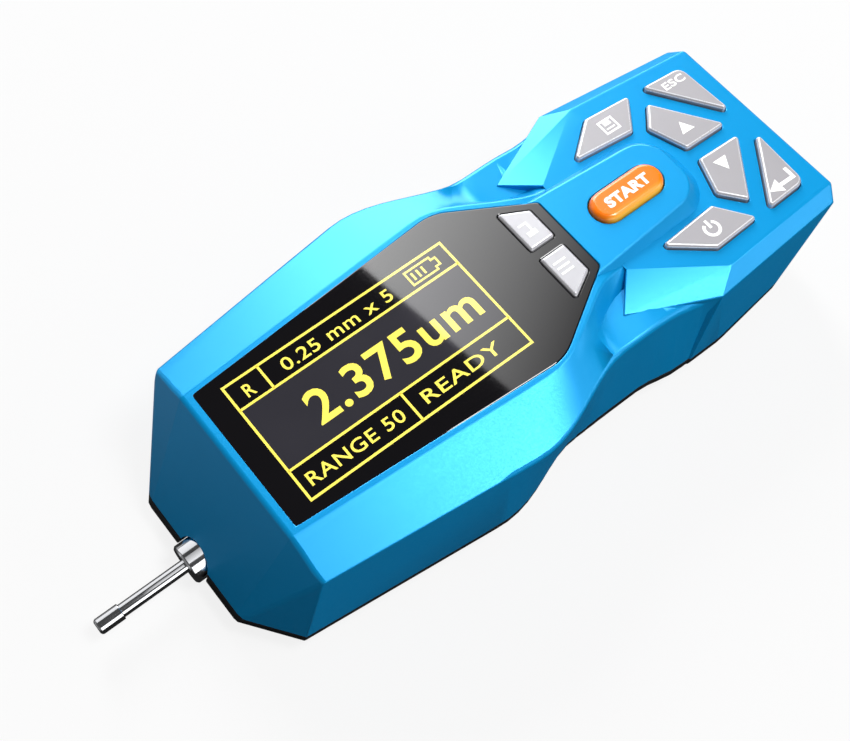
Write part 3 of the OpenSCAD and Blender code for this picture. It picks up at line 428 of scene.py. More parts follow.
def rectangle(left: float, right: float, low: float, high: float) -> np.ndarray:
    """Lists a rectangle's corners counter-clockwise.

    Args:
        left: Start along the face in mm.
        right: End along the face in mm.
        low: Start across the face in mm.
        high: End across the face in mm.

    Returns:
        The corners.
    """
    return np.array([[left, low], [right, low], [right, high], [left, high]])


def turned(rings: np.ndarray, looped: bool = False) -> Shape:
    """Joins rings of points to a skin: two neighbours and the two above them make a face.

    Args:
        rings: Points in mm, one row of points for each ring.
        looped: True if the last ring joins the first, otherwise both end rings are capped.

    Returns:
        Points in mm and the faces.
    """
    rows, n = rings.shape[:2]
    joins = np.arange(rows if looped else rows - 1)
    row, step = np.meshgrid(joins, np.arange(n), indexing="ij")
    above, ahead = (row + 1) % rows * n, (step + 1) % n
    quads = np.stack([row * n + step, row * n + ahead, above + ahead, above + step], axis=-1)
    faces = list(map(tuple, quads.reshape(-1, 4)))
    if not looped:
        faces += [tuple(range(n))[::-1], tuple(range((rows - 1) * n, rows * n))]
    return rings.reshape(-1, 3), faces


def stroke(line: np.ndarray, width: float, lift: float, closed: bool = False) -> Shape:
    """Carries a low rectangle along a line: its corners lie half a width off it along the mitre.

    Args:
        line: Points of the middle line, along and across, in mm.
        width: Width of the stroke in mm.
        lift: Height of the stroke above the face in mm.
        closed: True if the line ends where it starts.

    Returns:
        Points in mm and the faces.
    """
    before = np.roll(line, 1, axis=0)
    after = np.roll(line, -1, axis=0)
    if not closed:
        before[0] = 2 * line[0] - line[1]
        after[-1] = 2 * line[-1] - line[-2]
    first = (line - before) / np.linalg.norm(line - before, axis=1, keepdims=True)
    second = (after - line) / np.linalg.norm(after - line, axis=1, keepdims=True)
    side = np.column_stack([-(first + second)[:, 1], (first + second)[:, 0]])
    side /= 1.0 + (first * second).sum(1, keepdims=True)
    left, right = line + side * width / 2, line - side * width / 2
    corners = ((left, lift), (right, lift), (right, -SINK_MM), (left, -SINK_MM))
    rings = [np.column_stack([at, np.full(len(line), z)]) for at, z in corners]
    return turned(np.stack(rings, axis=1), closed)


def filled(outline: np.ndarray, lift: float) -> Shape:
    """Raises a flat outline to a low block: one ring below the face, one above, both capped.

    Args:
        outline: Corners counter-clockwise, along and across, in mm.
        lift: Height of the block above the face in mm.

    Returns:
        Points in mm and the faces.
    """
    rings = [np.column_stack([outline, np.full(len(outline), z)]) for z in (-SINK_MM, lift)]
    return turned(np.stack(rings))


def word(
    text: str, left: float, right: float, base: float, cap: float, weight: float, lift: float
) -> Shape:
    """Sets a word as a low mesh, stretched to its box: each axis is scaled by box over letters.

    Args:
        text: Letters.
        left: Left end along the face in mm.
        right: Right end along the face in mm.
        base: Base line across the face in mm.
        cap: Height of a capital in mm.
        weight: Growth of the strokes, as a share of the letters' size.
        lift: Height above the face in mm.

    Returns:
        Points in mm and the faces.
    """
    curve = bpy.data.curves.new("letters", "FONT")
    curve.body = text
    curve.offset = weight
    curve.space_character = LETTER_SPACE
    curve.extrude = SINK_MM
    curve.resolution_u = LETTER_STEPS
    letters = put("letters", curve)
    bpy.context.view_layer.update()
    shaped = letters.evaluated_get(bpy.context.evaluated_depsgraph_get())
    mesh = bpy.data.meshes.new_from_object(shaped)
    points = np.array([vert.co for vert in mesh.vertices], float)
    faces = [tuple(p.vertices) for p in mesh.polygons]
    bpy.data.objects.remove(letters)
    bpy.data.meshes.remove(mesh)
    x0, x1 = points[:, 0].min(), points[:, 0].max()
    flat = np.column_stack(
        [
            left + (points[:, 0] - x0) * (right - left) / (x1 - x0),
            base + points[:, 1] * cap / CAPITAL_SHARE,
            np.where(points[:, 2] > 0, lift, -SINK_MM),
        ]
    )
    return flat, faces


def weigh_normals(piece: bpy.types.Object, group: str = "") -> None:
    """Shades the wide faces of a rounded piece flat and leaves the turn of light to its edges.

    Args:
        piece: Piece whose rounding comes before this in its modifiers.
        group: Group of points that this holds for, or empty for all.
    """
    weigh = piece.modifiers.new("face_weighted_shading", "WEIGHTED_NORMAL")
    weigh.mode = "FACE_AREA"
    weigh.weight = FULL_WEIGHT
    weigh.keep_sharp = True
    weigh.vertex_group = group


def stand_in(
    node: str, mesh: bpy.types.Mesh, finish: Finish, radius_mm: float, segments: int
) -> tuple[bpy.types.Object, bpy.types.BevelModifier]:
    """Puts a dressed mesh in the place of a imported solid, with a rounding still to be limited.

    Args:
        node: Name of the solid.
        mesh: Mesh that takes its place.
        finish: Finish of the mesh.
        radius_mm: Width of the rounding.
        segments: Steps of the rounding.

    Returns:
        The piece and its rounding.
    """
    mesh.materials.clear()
    mesh.materials.append(finish.material())
    piece = put(f"{node}_dressed", mesh)
    rounding = piece.modifiers.new("rounded_edges", "BEVEL")
    rounding.width = radius_mm * MM
    rounding.segments = segments
    rounding.use_clamp_overlap = False
    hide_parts(node)
    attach(piece, frame["nodes"][node]["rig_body"])
    LOG.info("piece %s: %d faces", piece.name, len(mesh.polygons))
    return piece, rounding


def soft_copy(
    node: str, finish: Finish, edges: Rounding, flat: bool = False, edge: Optional[Finish] = None
) -> None:
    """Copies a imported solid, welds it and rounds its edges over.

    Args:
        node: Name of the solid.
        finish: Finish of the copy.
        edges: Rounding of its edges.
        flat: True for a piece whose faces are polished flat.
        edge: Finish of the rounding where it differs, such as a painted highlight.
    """
    mesh = welded(node)
    radius_mm, bend_deg, segments = edges
    piece, rounding = stand_in(node, mesh, finish, radius_mm, segments)
    rounding.limit_method = "ANGLE"
    rounding.angle_limit = math.radians(bend_deg)
    # A paler finish on the rounding paints a highlight along the edges.
    if edge:
        mesh.materials.append(edge.material())
        rounding.material = 1
    if flat:
        mesh.polygons.foreach_set("use_smooth", np.zeros(len(mesh.polygons), bool))
    else:
        weigh_normals(piece)


def welded(
    node: str,
    flat_deg: float = 0.4,
    smooth_deg: float = 24.0,
    keep_mm: Optional[Pair] = None,
    slight_deg: float = 4.0,
    short_mm: float = 0.5,
    fold_mm: Pair = (19.0, 28.0),
) -> bpy.types.Mesh:
    """Copies a solid's loose triangles as one welded mesh with whole flat faces.

    Args:
        node: Name of the solid.
        flat_deg: Neighbours that bend less than this become one face.
        smooth_deg: Edges that bend less than this are shaded smooth.
        keep_mm: Stretch behind the nose edge whose slight bends stay; outside it they become flat.
        slight_deg: Bend that counts as slight outside that stretch.
        short_mm: Shorter edges on the nose's upper fold are closed up outside that stretch.
        fold_mm: The fold lies before the first of these behind the nose edge, above the second.

    Returns:
        The new mesh.
    """
    mesh = frame["nodes"][node].data.copy()
    # The stored normals of the loose triangles no longer fit once faces are joined.
    stored = mesh.attributes.get("custom_normal")
    if stored:
        mesh.attributes.remove(stored)
    work = bmesh.new()
    work.from_mesh(mesh)
    bmesh.ops.remove_doubles(work, verts=work.verts[:], dist=WELD_M)
    bmesh.ops.dissolve_limit(
        work, angle_limit=math.radians(flat_deg), verts=work.verts[:], edges=work.edges[:]
    )
    if keep_mm:
        low, high, fold = ((end - NOSE_TO_ORIGIN_MM) * MM for end in (*keep_mm, fold_mm[0]))
        plain = [
            e for e in work.edges
            if all(v.co.x < low for v in e.verts) or all(v.co.x > high for v in e.verts)
        ]
        bmesh.ops.dissolve_limit(work, angle_limit=math.radians(slight_deg), verts=[], edges=plain)
        short = [
            e for e in work.edges
            if e.calc_length() < short_mm * MM
            and all(v.co.x < fold and v.co.z > fold_mm[1] * MM for v in e.verts)
        ]
        bmesh.ops.collapse(work, edges=short)
    work.to_mesh(mesh)
    work.free()
    mesh.polygons.foreach_set("use_smooth", np.ones(len(mesh.polygons), bool))
    mesh.set_sharp_from_angle(angle=math.radians(smooth_deg))
    return mesh


@dataclass(frozen=True)
class SoftBox:
    """A lamp with an even front that points at the middle of the base."""

    name: str
    # Place and size of its front in metres, and power in watts.
    at: Triple
    size: Pair
    power: float

    def hang(self) -> None:
        """Hangs the lamp."""
        lamp = bpy.data.lights.new(self.name, "AREA")
        lamp.shape = "RECTANGLE"
        lamp.size, lamp.size_y = self.size
        lamp.energy = self.power
        turn = (-Vector(self.at)).to_track_quat("-Z", "Y").to_matrix().to_4x4()
        put(self.name, lamp).matrix_world = Matrix.Translation(self.at) @ turn


@dataclass(frozen=True)
class Card:
    """A lit card that only reflections show, and whose light changes evenly along a direction."""

    name: str
    # Corners in metres, direction of the change, its start and end in metres, and the levels there.
    corners: tuple[Triple, ...]
    way: Triple
    reach: Pair
    levels: Pair

    def hang(self) -> None:
        """Hangs the card, unseen by the camera and without a shadow."""
        paint = bpy.data.materials.new(self.name)
        tree = empty_tree(paint)
        level = slope(tree, self.way, self.reach, self.levels)
        glow = add_node(tree, "ShaderNodeEmission", {"Color": WHITE, "Strength": level})
        add_node(tree, "ShaderNodeOutputMaterial", {"Surface": glow.outputs[0]})
        mesh = bpy.data.meshes.new(self.name)
        mesh.from_pydata(self.corners, [], [tuple(range(len(self.corners)))])
        mesh.materials.append(paint)
        card = put(self.name, mesh)
        card.visible_camera = False
        card.visible_diffuse = False
        card.visible_shadow = False


UP = (0.0, 0.0, 1.0)
SOFT_BOXES = (
    SoftBox("far_box", (0.34, 0.86, 0.56), (0.32, 0.52), 11.0),
    SoftBox("top_box", (0.30, -0.33, 0.98), (0.32, 0.32), 9.0),
    SoftBox("near_box", (0.73, -0.68, 0.47), (0.5, 0.5), 3.0),
)
CARDS = (
    # Grey sheen over the rear of the window, which ends on a slanting line.
    Card(
        "window_card",
        ((0.205, 0.363, 0.7), (0.2269, 0.2081, 0.7), (0.2410, 0.1085, 0.7), (0.52, 0.1085, 0.7),
         (0.52, 0.52, 0.7), (0.1828, 0.52, 0.7)),
        (0.55, -0.83, 0.0), (-0.19, 0.0), (9.0, 0.6),
    ),
    # Bright line along the chrome pickup.
    Card(
        "nose_card",
        ((-0.08, -0.14, 0.3), (0.012, -0.14, 0.3), (0.012, 0.07, 0.3), (-0.08, 0.07, 0.3)),
        (0.0, 1.0, 0.0), (-0.14, 0.07), (1.1, 0.5),
    ),
    # Pale far chamfer of the head.
    Card(
        "far_card",
        ((-0.3, 0.35, 0.05), (-0.3, 0.35, 0.5), (0.02, 0.35, 0.5), (0.02, 0.35, 0.05)),
        UP, (0.05, 0.5), (1.2, 0.9),
    ),
    # Pale far slope of the waist and the far wing.
    Card(
        "waist_card",
        ((0.04, 0.35, 0.03), (0.04, 0.35, 0.36), (0.52, 0.35, 0.36), (0.52, 0.35, 0.03)),
        UP, (0.03, 0.36), (8.0, 8.5),
    ),
    # Thin light on the near crest of the waist.
    Card(
        "crest_card",
        ((0.28, -0.75, 0.4), (0.55, -0.6, 0.4), (0.5, -0.55, 0.62), (0.23, -0.7, 0.62)),
        UP, (0.4, 0.62), (1.8, 1.8),
    ),
    # Pale near chamfer and near wing.
    Card(
        "near_card",
        ((-0.25, -0.4, 0.03), (0.05, -0.4, 0.03), (0.05, -0.4, 0.36), (-0.25, -0.4, 0.36)),
        UP, (0.03, 0.36), (2.4, 1.8),
    ),
)


@dataclass
class Studio:
    """White table, soft lamps and the camera at the photograph's viewpoint."""

    eye: Triple = (-0.09985, -0.10474, 0.27978)
    forward: Triple = (0.2815, 0.3568, -0.8907)
    lens_mm: float = 58.17
    sensor_mm: float = 36.0
    nearest: float = 0.01
    floor_size: float = 6.0
    # Colour of the paper that lights the tester, colour in which the eye sees its shadows, and
    # the share of even white in what the eye sees.
    paper: str = "#828282"
    paper_seen: str = "#CBCBCB"
    floor_white: float = 0.85
    # Table level in mirrors: painted shade beside the tester, brighter out in front of its nose.
    mirrored_white: Pair = (0.02, 0.6)
    mirror_way: Triple = (-0.6, 0.8, 0.0)
    mirror_reach: Pair = (0.06, 0.15)
    # Level of the room at the horizon and overhead, and the rise over which it changes.
    horizon: float = 0.4
    zenith: float = 0.12
    room_rise: Pair = (0.1, 0.75)
    # Level of the room as the eye sees it, and the share that polished faces show.
    seen_room: float = 0.9
    mirrored_room: float = 0.55

    def camera(self) -> None:
        """Places the camera on the fitted viewpoint, level with the horizon."""
        data = bpy.data.cameras.new("camera")
        data.sensor_fit = "HORIZONTAL"
        data.sensor_width = self.sensor_mm
        data.lens = self.lens_mm
        data.clip_start = self.nearest
        camera = put("camera", data)
        turn = Vector(self.forward).to_track_quat("-Z", "Y")
        camera.matrix_world = Matrix.Translation(self.eye) @ turn.to_matrix().to_4x4()
        bpy.context.scene.camera = camera

    def floor(self) -> None:
        """Lays the white table top, a large square that keeps the tester's shadow."""
        half = self.floor_size / 2
        corners = np.pad(rectangle(-half, half, -half, half), ((0, 0), (0, 1)))
        mesh = bpy.data.meshes.new("table_top")
        mesh.from_pydata(corners.tolist(), [], [(0, 1, 2, 3)])
        mesh.materials.append(self.floor_paper())
        floor = put("table_top", mesh)

    def floor_paper(self) -> bpy.types.Material:
        """Makes the paper: mostly white to the eye, painted shade near the tester in mirrors, plain
        to light.

        Returns:
            Material that mixes lit paper with even light by the kind of ray.
        """
        made = bpy.data.materials.new("white_studio_paper")
        tree = empty_tree(made)
        path = add_node(tree, "ShaderNodeLightPath")
        glossy = path.outputs["Is Glossy Ray"]
        seen = add_node(
            tree, "ShaderNodeMath",
            {0: path.outputs["Is Camera Ray"], 1: path.outputs["Is Transmission Ray"]},
            operation="MAXIMUM",
        ).outputs[0]
        share = add_node(
            tree, "ShaderNodeMath", {0: seen, 1: self.floor_white, 2: glossy},
            operation="MULTIPLY_ADD",
        )
        # Painted shade: the table shows darker in mirrors close beside the tester.
        mirrored = slope(tree, self.mirror_way, self.mirror_reach, self.mirrored_white)
        level = add_node(tree, "ShaderNodeMix", {"Factor": glossy, "A": 1.0, "B": mirrored})
        sheet = add_node(
            tree, "ShaderNodeMix",
            {"Factor": seen, 6: hex_linear(self.paper), 7: hex_linear(self.paper_seen)},
            data_type="RGBA",
        )
        paper = add_node(tree, "ShaderNodeBsdfDiffuse", {"Color": sheet.outputs[2]})
        white = add_node(
            tree, "ShaderNodeEmission", {"Color": WHITE, "Strength": level.outputs[0]}
        )
        both = add_node(
            tree, "ShaderNodeMixShader",
            {0: share.outputs[0], 1: paper.outputs[0], 2: white.outputs[0]},
        )
        add_node(tree, "ShaderNodeOutputMaterial", {"Surface": both.outputs[0]})
        return made

    def room(self) -> None:
        """Lights the room evenly, a little stronger towards the horizon."""
        world = bpy.data.worlds.new("room")
        tree = empty_tree(world)
        way = add_node(tree, "ShaderNodeTexCoord").outputs["Generated"]
        up = add_node(tree, "ShaderNodeSeparateXYZ", {0: way}).outputs["Z"]
        ends = zip(ENDS, (*self.room_rise, self.horizon, self.zenith))
        fall = add_node(
            tree, "ShaderNodeMapRange", {"Value": up, **dict(ends)},
            interpolation_type="SMOOTHSTEP",
        )
        path = add_node(tree, "ShaderNodeLightPath")
        share = add_node(
            tree, "ShaderNodeMapRange",
            {"Value": path.outputs["Is Glossy Ray"], "To Min": 1.0, "To Max": self.mirrored_room},
        )
        lit = add_node(
            tree, "ShaderNodeMath", {0: fall.outputs["Result"], 1: share.outputs["Result"]},
            operation="MULTIPLY",
        )
        level = add_node(
            tree, "ShaderNodeMix",
            {"Factor": path.outputs["Is Camera Ray"], "A": lit.outputs[0], "B": self.seen_room},
        )
        light = add_node(
            tree, "ShaderNodeBackground", {"Color": WHITE, "Strength": level.outputs[0]}
        )
        add_node(tree, "ShaderNodeOutputWorld", {"Surface": light.outputs[0]})
        bpy.context.scene.world = world

    def lights(self) -> None:
        """Hangs the lamps and the cards."""
        for light in SOFT_BOXES + CARDS:
            light.hang()


class Edge(Enum):
    """Kinds of housing edge, with the share of the full rounding that each one gets."""

    CREST = 1.0
    FOLD = 0.7
    CREASE = 0.35
    LIP = 0.14
    RIM = 0.28
    OPENING = 0.2


@dataclass
class Housing:
    """Blue upper shell and black base cover, with the folds of the mould rounded over."""

    # Full rounding of the shell and its steps, and the rounding of the base.
    round_mm: float = 1.0
    segments: int = 3
    base_round: Rounding = (0.35, 30.0, 2)
    # Bends from which an edge counts as a fold, a crease, a lip or the rim of an opening.
    fold_deg: float = 11.0
    crease_deg: float = 28.0
    lip_deg: float = 58.0
    opening_deg: float = 40.0
    # Bends up to which shading runs on over an edge: as a rule, on the nose, and across the waist.
    sharp_deg: float = 12.0
    nose_deg: float = 6.0
    cross_deg: float = 40.0
    # Places behind the nose edge: end of the nose, curved waist with its wings, rear corners.
    nose_mm: float = 17.0
    waist_mm: Pair = (54.0, 118.5)
    wings_mm: float = 88.0
    rear_mm: float = 152.0
    # A strip of the waist's side leans at least this far to the side, and one beside a crest more.
    flank_y: float = 0.85
    crest_y: float = 0.93
    # Where the waist's slope runs out, how far from the middle, and its least upward lean.
    slope_mm: Pair = (80.0, 99.0)
    slope_side_mm: float = 16.0
    slope_z: float = 0.3
    # Longest step of a cross line of the waist, least rise of a rear corner, slack of the deck.
    cross_mm: float = 0.3
    corner_rise_mm: float = 10.0
    deck_slack_mm: float = 0.3

    def build(self) -> None:
        """Dresses the two halves of the housing."""
        self.shell()
        soft_copy("base_cover", BLACK_ABS, self.base_round)

    def shell(self) -> None:
        """Rounds the shell: outer folds fully, the rims of its openings a little."""
        mesh = welded("top_shell", keep_mm=self.waist_mm)
        work = bmesh.new()
        work.from_mesh(mesh)
        work.faces.ensure_lookup_table()
        tree = BVHTree.FromBMesh(work)
        outer = [self.faces_out(tree, face) for face in work.faces]
        layer = work.edges.layers.float.new("bevel_weight_edge")
        broad = work.verts.layers.deform.verify()
        flank = [self.on_flank(face) for face in work.faces]
        for vert in work.verts:
            on_flank = any(flank[face.index] for face in vert.link_faces)
            vert[broad][0] = 0.0 if on_flank else 1.0
        for edge in work.edges:
            if len(edge.link_faces) != 2:
                continue
            bend = math.degrees(edge.calc_face_angle(0.0))
            x = [v.co.x / MM + NOSE_TO_ORIGIN_MM for v in edge.verts]
            in_waist = self.waist_mm[0] < min(x) and max(x) < self.waist_mm[1]
            cross = in_waist and max(x) - min(x) < self.cross_mm
            curved = bend < self.cross_deg and all(flank[face.index] for face in edge.link_faces)
            plain_deg = self.nose_deg if max(x) < self.nose_mm else self.sharp_deg
            edge.smooth = bend < (self.cross_deg if cross or curved else plain_deg)
            if edge.is_convex and not curved:
                sides = [outer[face.index] for face in edge.link_faces]
                kind = self.kind(edge, sides, bend, x)
                edge[layer] = kind.value if kind else 0.0
        work.to_mesh(mesh)
        work.free()
        piece, rounding = stand_in("top_shell", mesh, BLUE_ABS, self.round_mm, self.segments)
        rounding.limit_method = "WEIGHT"
        piece.vertex_groups.new(name="broad_faces")
        weigh_normals(piece, "broad_faces")

    def kind(
        self, edge: bmesh.types.BMEdge, sides: Sequence[bool], bend: float, x: Sequence[float]
    ) -> Optional[Edge]:
        """Sorts an outward bend of the shell by its place and its sharpness.

        Args:
            edge: The edge.
            sides: For each of its faces, True if it is seen from outside.
            bend: Bend across the edge in degrees.
            x: Places of its ends behind the nose edge in mm.

        Returns:
            Kind of edge, or None where it stays as it is.
        """
        heights = [vert.co.z / MM for vert in edge.verts]
        if min(x) > self.rear_mm and max(heights) - min(heights) > self.corner_rise_mm:
            return Edge.OPENING
        waist = max(x) > self.wings_mm and min(x) < self.waist_mm[1]
        if all(sides) and bend > (self.crease_deg if waist else self.fold_deg):
            if not waist:
                rim = max(x) > self.nose_mm and min(heights) > DECK_MM - self.deck_slack_mm
                return Edge.RIM if rim else Edge.FOLD
            if max(abs(face.normal.y) for face in edge.link_faces) > self.crest_y:
                return Edge.CREST
            return Edge.LIP if bend > self.lip_deg else Edge.CREASE
        return Edge.OPENING if any(sides) and bend > self.opening_deg else None

    def on_flank(self, face: bmesh.types.BMFace) -> bool:
        """Tells a strip of the curved waist: of its side wall, or of the slope where it runs out.

        Args:
            face: Face to test.

        Returns:
            True if the face is such a strip.
        """
        middle = face.calc_center_median()
        x = middle.x / MM + NOSE_TO_ORIGIN_MM
        if self.waist_mm[0] < x < self.waist_mm[1] and abs(face.normal.y) > self.flank_y:
            return True
        beside = abs(middle.y) > self.slope_side_mm * MM
        return self.slope_mm[0] < x < self.slope_mm[1] and beside and face.normal.z > self.slope_z

    @staticmethod
    def faces_out(tree: BVHTree, face: bmesh.types.BMFace) -> bool:
        """Tells an outer face: it doesn't face down, and a ray along its normal leaves the shell.

        Args:
            tree: The shell's faces for the ray.
            face: Face to test.

        Returns:
            True if the face is seen from outside.
        """
        down_z, start_mm, reach_mm = -0.3, 0.02, 200.0
        if face.normal.z < down_z:
            return False
        start = face.calc_center_median() + face.normal * start_mm * MM
        hit, *_ = tree.ray_cast(start, face.normal, reach_mm * MM)
        return hit is None


@dataclass
class Display:
    """Polished window with the display's field, lines, letters and battery sign."""

    # Frame of the display, its two rules and its two cell lines, in mm on the deck.
    left: float = 22.3
    right: float = 77.5
    half: float = 15.05
    header: float = 8.85
    footer: float = -7.6
    header_cell: float = 30.6
    footer_cell: float = 49.5
    # Widths of the frame's lines, the battery's line and its bars.
    line_mm: float = 0.55
    battery_mm: float = 0.44
    bar_mm: float = 0.495
    bars_x: Triple = (68.2, 69.5, 70.8)
    bars_y: Pair = (11.0, 12.9)
    # Heights of the lit lines and of the unlit field above the window.
    lift: float = 0.03
    field_lift: float = 0.01
    rim: Rounding = (0.18, 40.0, 2)
    # A plain reading and plain labels in the photograph's layout: text, left and right end, base
    # line and capitals in mm, and growth of the strokes.
    texts: tuple[tuple[str, float, float, float, float, float], ...] = (
        ("R", 25.4, 27.5, 10.2, 3.1, 0.012),
        ("0.25 mm x 5", 34.6, 62.0, 10.3, 3.1, 0.008),
        ("2.375um", 33.2, 74.6, -3.6, 8.0, 0.016),
        ("RANGE 50", 24.2, 47.3, -12.9, 3.1, 0.008),
        ("READY", 52.4, 71.8, -12.9, 3.1, 0.008),
    )

    def build(self) -> None:
        """Dresses the window and draws the display on it."""
        soft_copy("display_window", BLACK_ACRYLIC, self.rim, flat=True)
        field = filled(rectangle(self.left, self.right, self.footer, self.header), self.field_lift)
        letters = [word(*text, self.lift) for text in self.texts]
        make_piece("display_field", [field], DECK, DISPLAY_FIELD, "housing")
        make_piece("display_lines", self.lines(), DECK, DISPLAY_LIGHT, "housing")
        make_piece("display_letters", letters, DECK, DISPLAY_LIGHT, "housing")

    def lines(self) -> list[Shape]:
        """Draws the frame, the two rules, the two cell lines and the battery sign.

        Returns:
            One closed or open stroke for each line.
        """
        lift = self.lift
        edge = rectangle(self.left, self.right, -self.half, self.half)
        rules = [
            ([self.left, self.header], [self.right, self.header]),
            ([self.left, self.footer], [self.right, self.footer]),
            ([self.header_cell, self.header], [self.header_cell, self.half]),
            ([self.footer_cell, self.footer], [self.footer_cell, -self.half]),
        ]
        battery = np.array(
            [[67.0, 10.2], [73.4, 10.2], [73.4, 11.0], [74.5, 11.0], [74.5, 12.9], [73.4, 12.9],
             [73.4, 13.7], [67.0, 13.7]]
        )
        bars = [[(x, y) for y in self.bars_y] for x in self.bars_x]
        return (
            [stroke(edge, self.line_mm, lift, True), stroke(battery, self.battery_mm, lift, True)]
            + [stroke(np.array(ends), self.line_mm, lift) for ends in rules]
            + [stroke(np.array(ends), self.bar_mm, lift) for ends in bars]
        )


@dataclass
class Keypad:
    """The start key, six keys behind it and two soft keys, each with its printed sign."""

    edge: Rounding = (0.14, 25.0, 2)
    start_edge: Rounding = (0.3, 25.0, 3)
    keys: tuple[str, ...] = ("save", "up", "escape", "power", "down", "enter")
    soft_keys: tuple[str, ...] = ("left_soft", "right_soft")
    # Height of the print, and widths of its fine, common, strong and heavy lines, in mm.
    lift: float = 0.04
    widths: tuple[float, float, float, float] = (0.4, 0.5, 0.7, 0.9)
    # Middle and radius of the power sign's ring in mm, its ends in degrees, and its points.
    ring_middle: Pair = (21.3, -17.1)
    ring_mm: float = 1.75
    ring_deg: Pair = (125.0, 415.0)
    ring_points: int = 40

    def build(self) -> None:
        """Dresses the keys and prints their signs in white, each on the key that carries it."""
        # The keys' rounded edges take a paler finish: a painted highlight.
        for key in self.keys:
            soft_copy(f"{key}_key", KEY_GREY, self.edge, edge=KEY_EDGE_HIGHLIGHT)
        for key in self.soft_keys:
            soft_copy(f"{key}_key", SOFT_KEY_SILVER, self.edge, edge=KEY_EDGE_HIGHLIGHT)
        soft_copy("start_key", START_ORANGE, self.start_edge)
        for key, (face, parts) in self.signs().items():
            make_piece(f"{key}_sign", parts, face, WHITE_INK, f"{key}_key")

    def signs(self) -> dict[str, tuple[Plane, list[Shape]]]:
        """Draws the signs in mm along and across each key's face.

        The power sign's ring is an arc about its bar's foot that leaves the top open.

        Returns:
            Face and shapes of each key's sign.
        """
        lift = self.lift
        fine, common, strong, heavy = self.widths
        disk = rectangle(20.3, 24.0, 15.1, 18.5)
        shutter = rectangle(21.2, 23.1, 17.0, 18.4)
        label = np.array([[21.0, 16.1], [23.3, 16.1]])
        up = np.array([[33.9, 5.1], [37.5, 5.1], [35.6, 8.3]])
        down = np.array([[35.6, -7.9], [37.5, -4.5], [33.8, -4.5]])
        turn = np.radians(np.linspace(*self.ring_deg, self.ring_points))
        round_way = np.column_stack([np.cos(turn), np.sin(turn)])
        ring = np.array(self.ring_middle) + self.ring_mm * round_way
        bar = np.array([[21.3, -16.9], [21.3, -14.7]])
        head = np.array([[38.3, -17.7], [41.6, -19.5], [41.6, -15.9]])
        hook = np.array([[41.4, -17.7], [45.6, -17.7], [45.6, -14.9]])
        bend = np.array([[92.6, 7.4], [94.6, 7.4], [94.6, 5.2]])
        foot = rectangle(93.0, 95.4, 4.0, 5.2)
        rows = [np.array([[92.4, y], [95.6, y]]) for y in (-4.2, -5.6, -7.0)]
        save = [stroke(disk, common, lift, True), filled(shutter, lift), stroke(label, fine, lift)]
        return {
            "save": (KEY_TOP, save),
            "up": (KEY_TOP, [filled(up, lift)]),
            "down": (KEY_TOP, [filled(down, lift)]),
            "escape": (KEY_TOP, [word("ESC", 39.6, 45.7, 16.5, 2.1, 0.02, lift)]),
            "power": (KEY_TOP, [stroke(line, strong, lift) for line in (ring, bar)]),
            "enter": (KEY_TOP, [filled(head, lift), stroke(hook, heavy, lift)]),
            "start": (START_TOP, [word("START", 110.8, 122.6, -1.3, 2.6, 0.05, lift)]),
            "left_soft": (SOFT_TOP, [stroke(bend, common, lift), filled(foot, lift)]),
            "right_soft": (SOFT_TOP, [stroke(row, common, lift) for row in rows]),
        }


@dataclass
class Pickup:
    """Chrome collar, guard tube and slotted nose of the pickup."""

    edge: Rounding = (0.12, 35.0, 2)
    nodes: tuple[str, ...] = ("pickup_body", "guard_tube", "skid_nose")

    def build(self) -> None:
        """Rounds the turned edges and plates them."""
        for node in self.nodes:
            soft_copy(node, CHROME, self.edge)


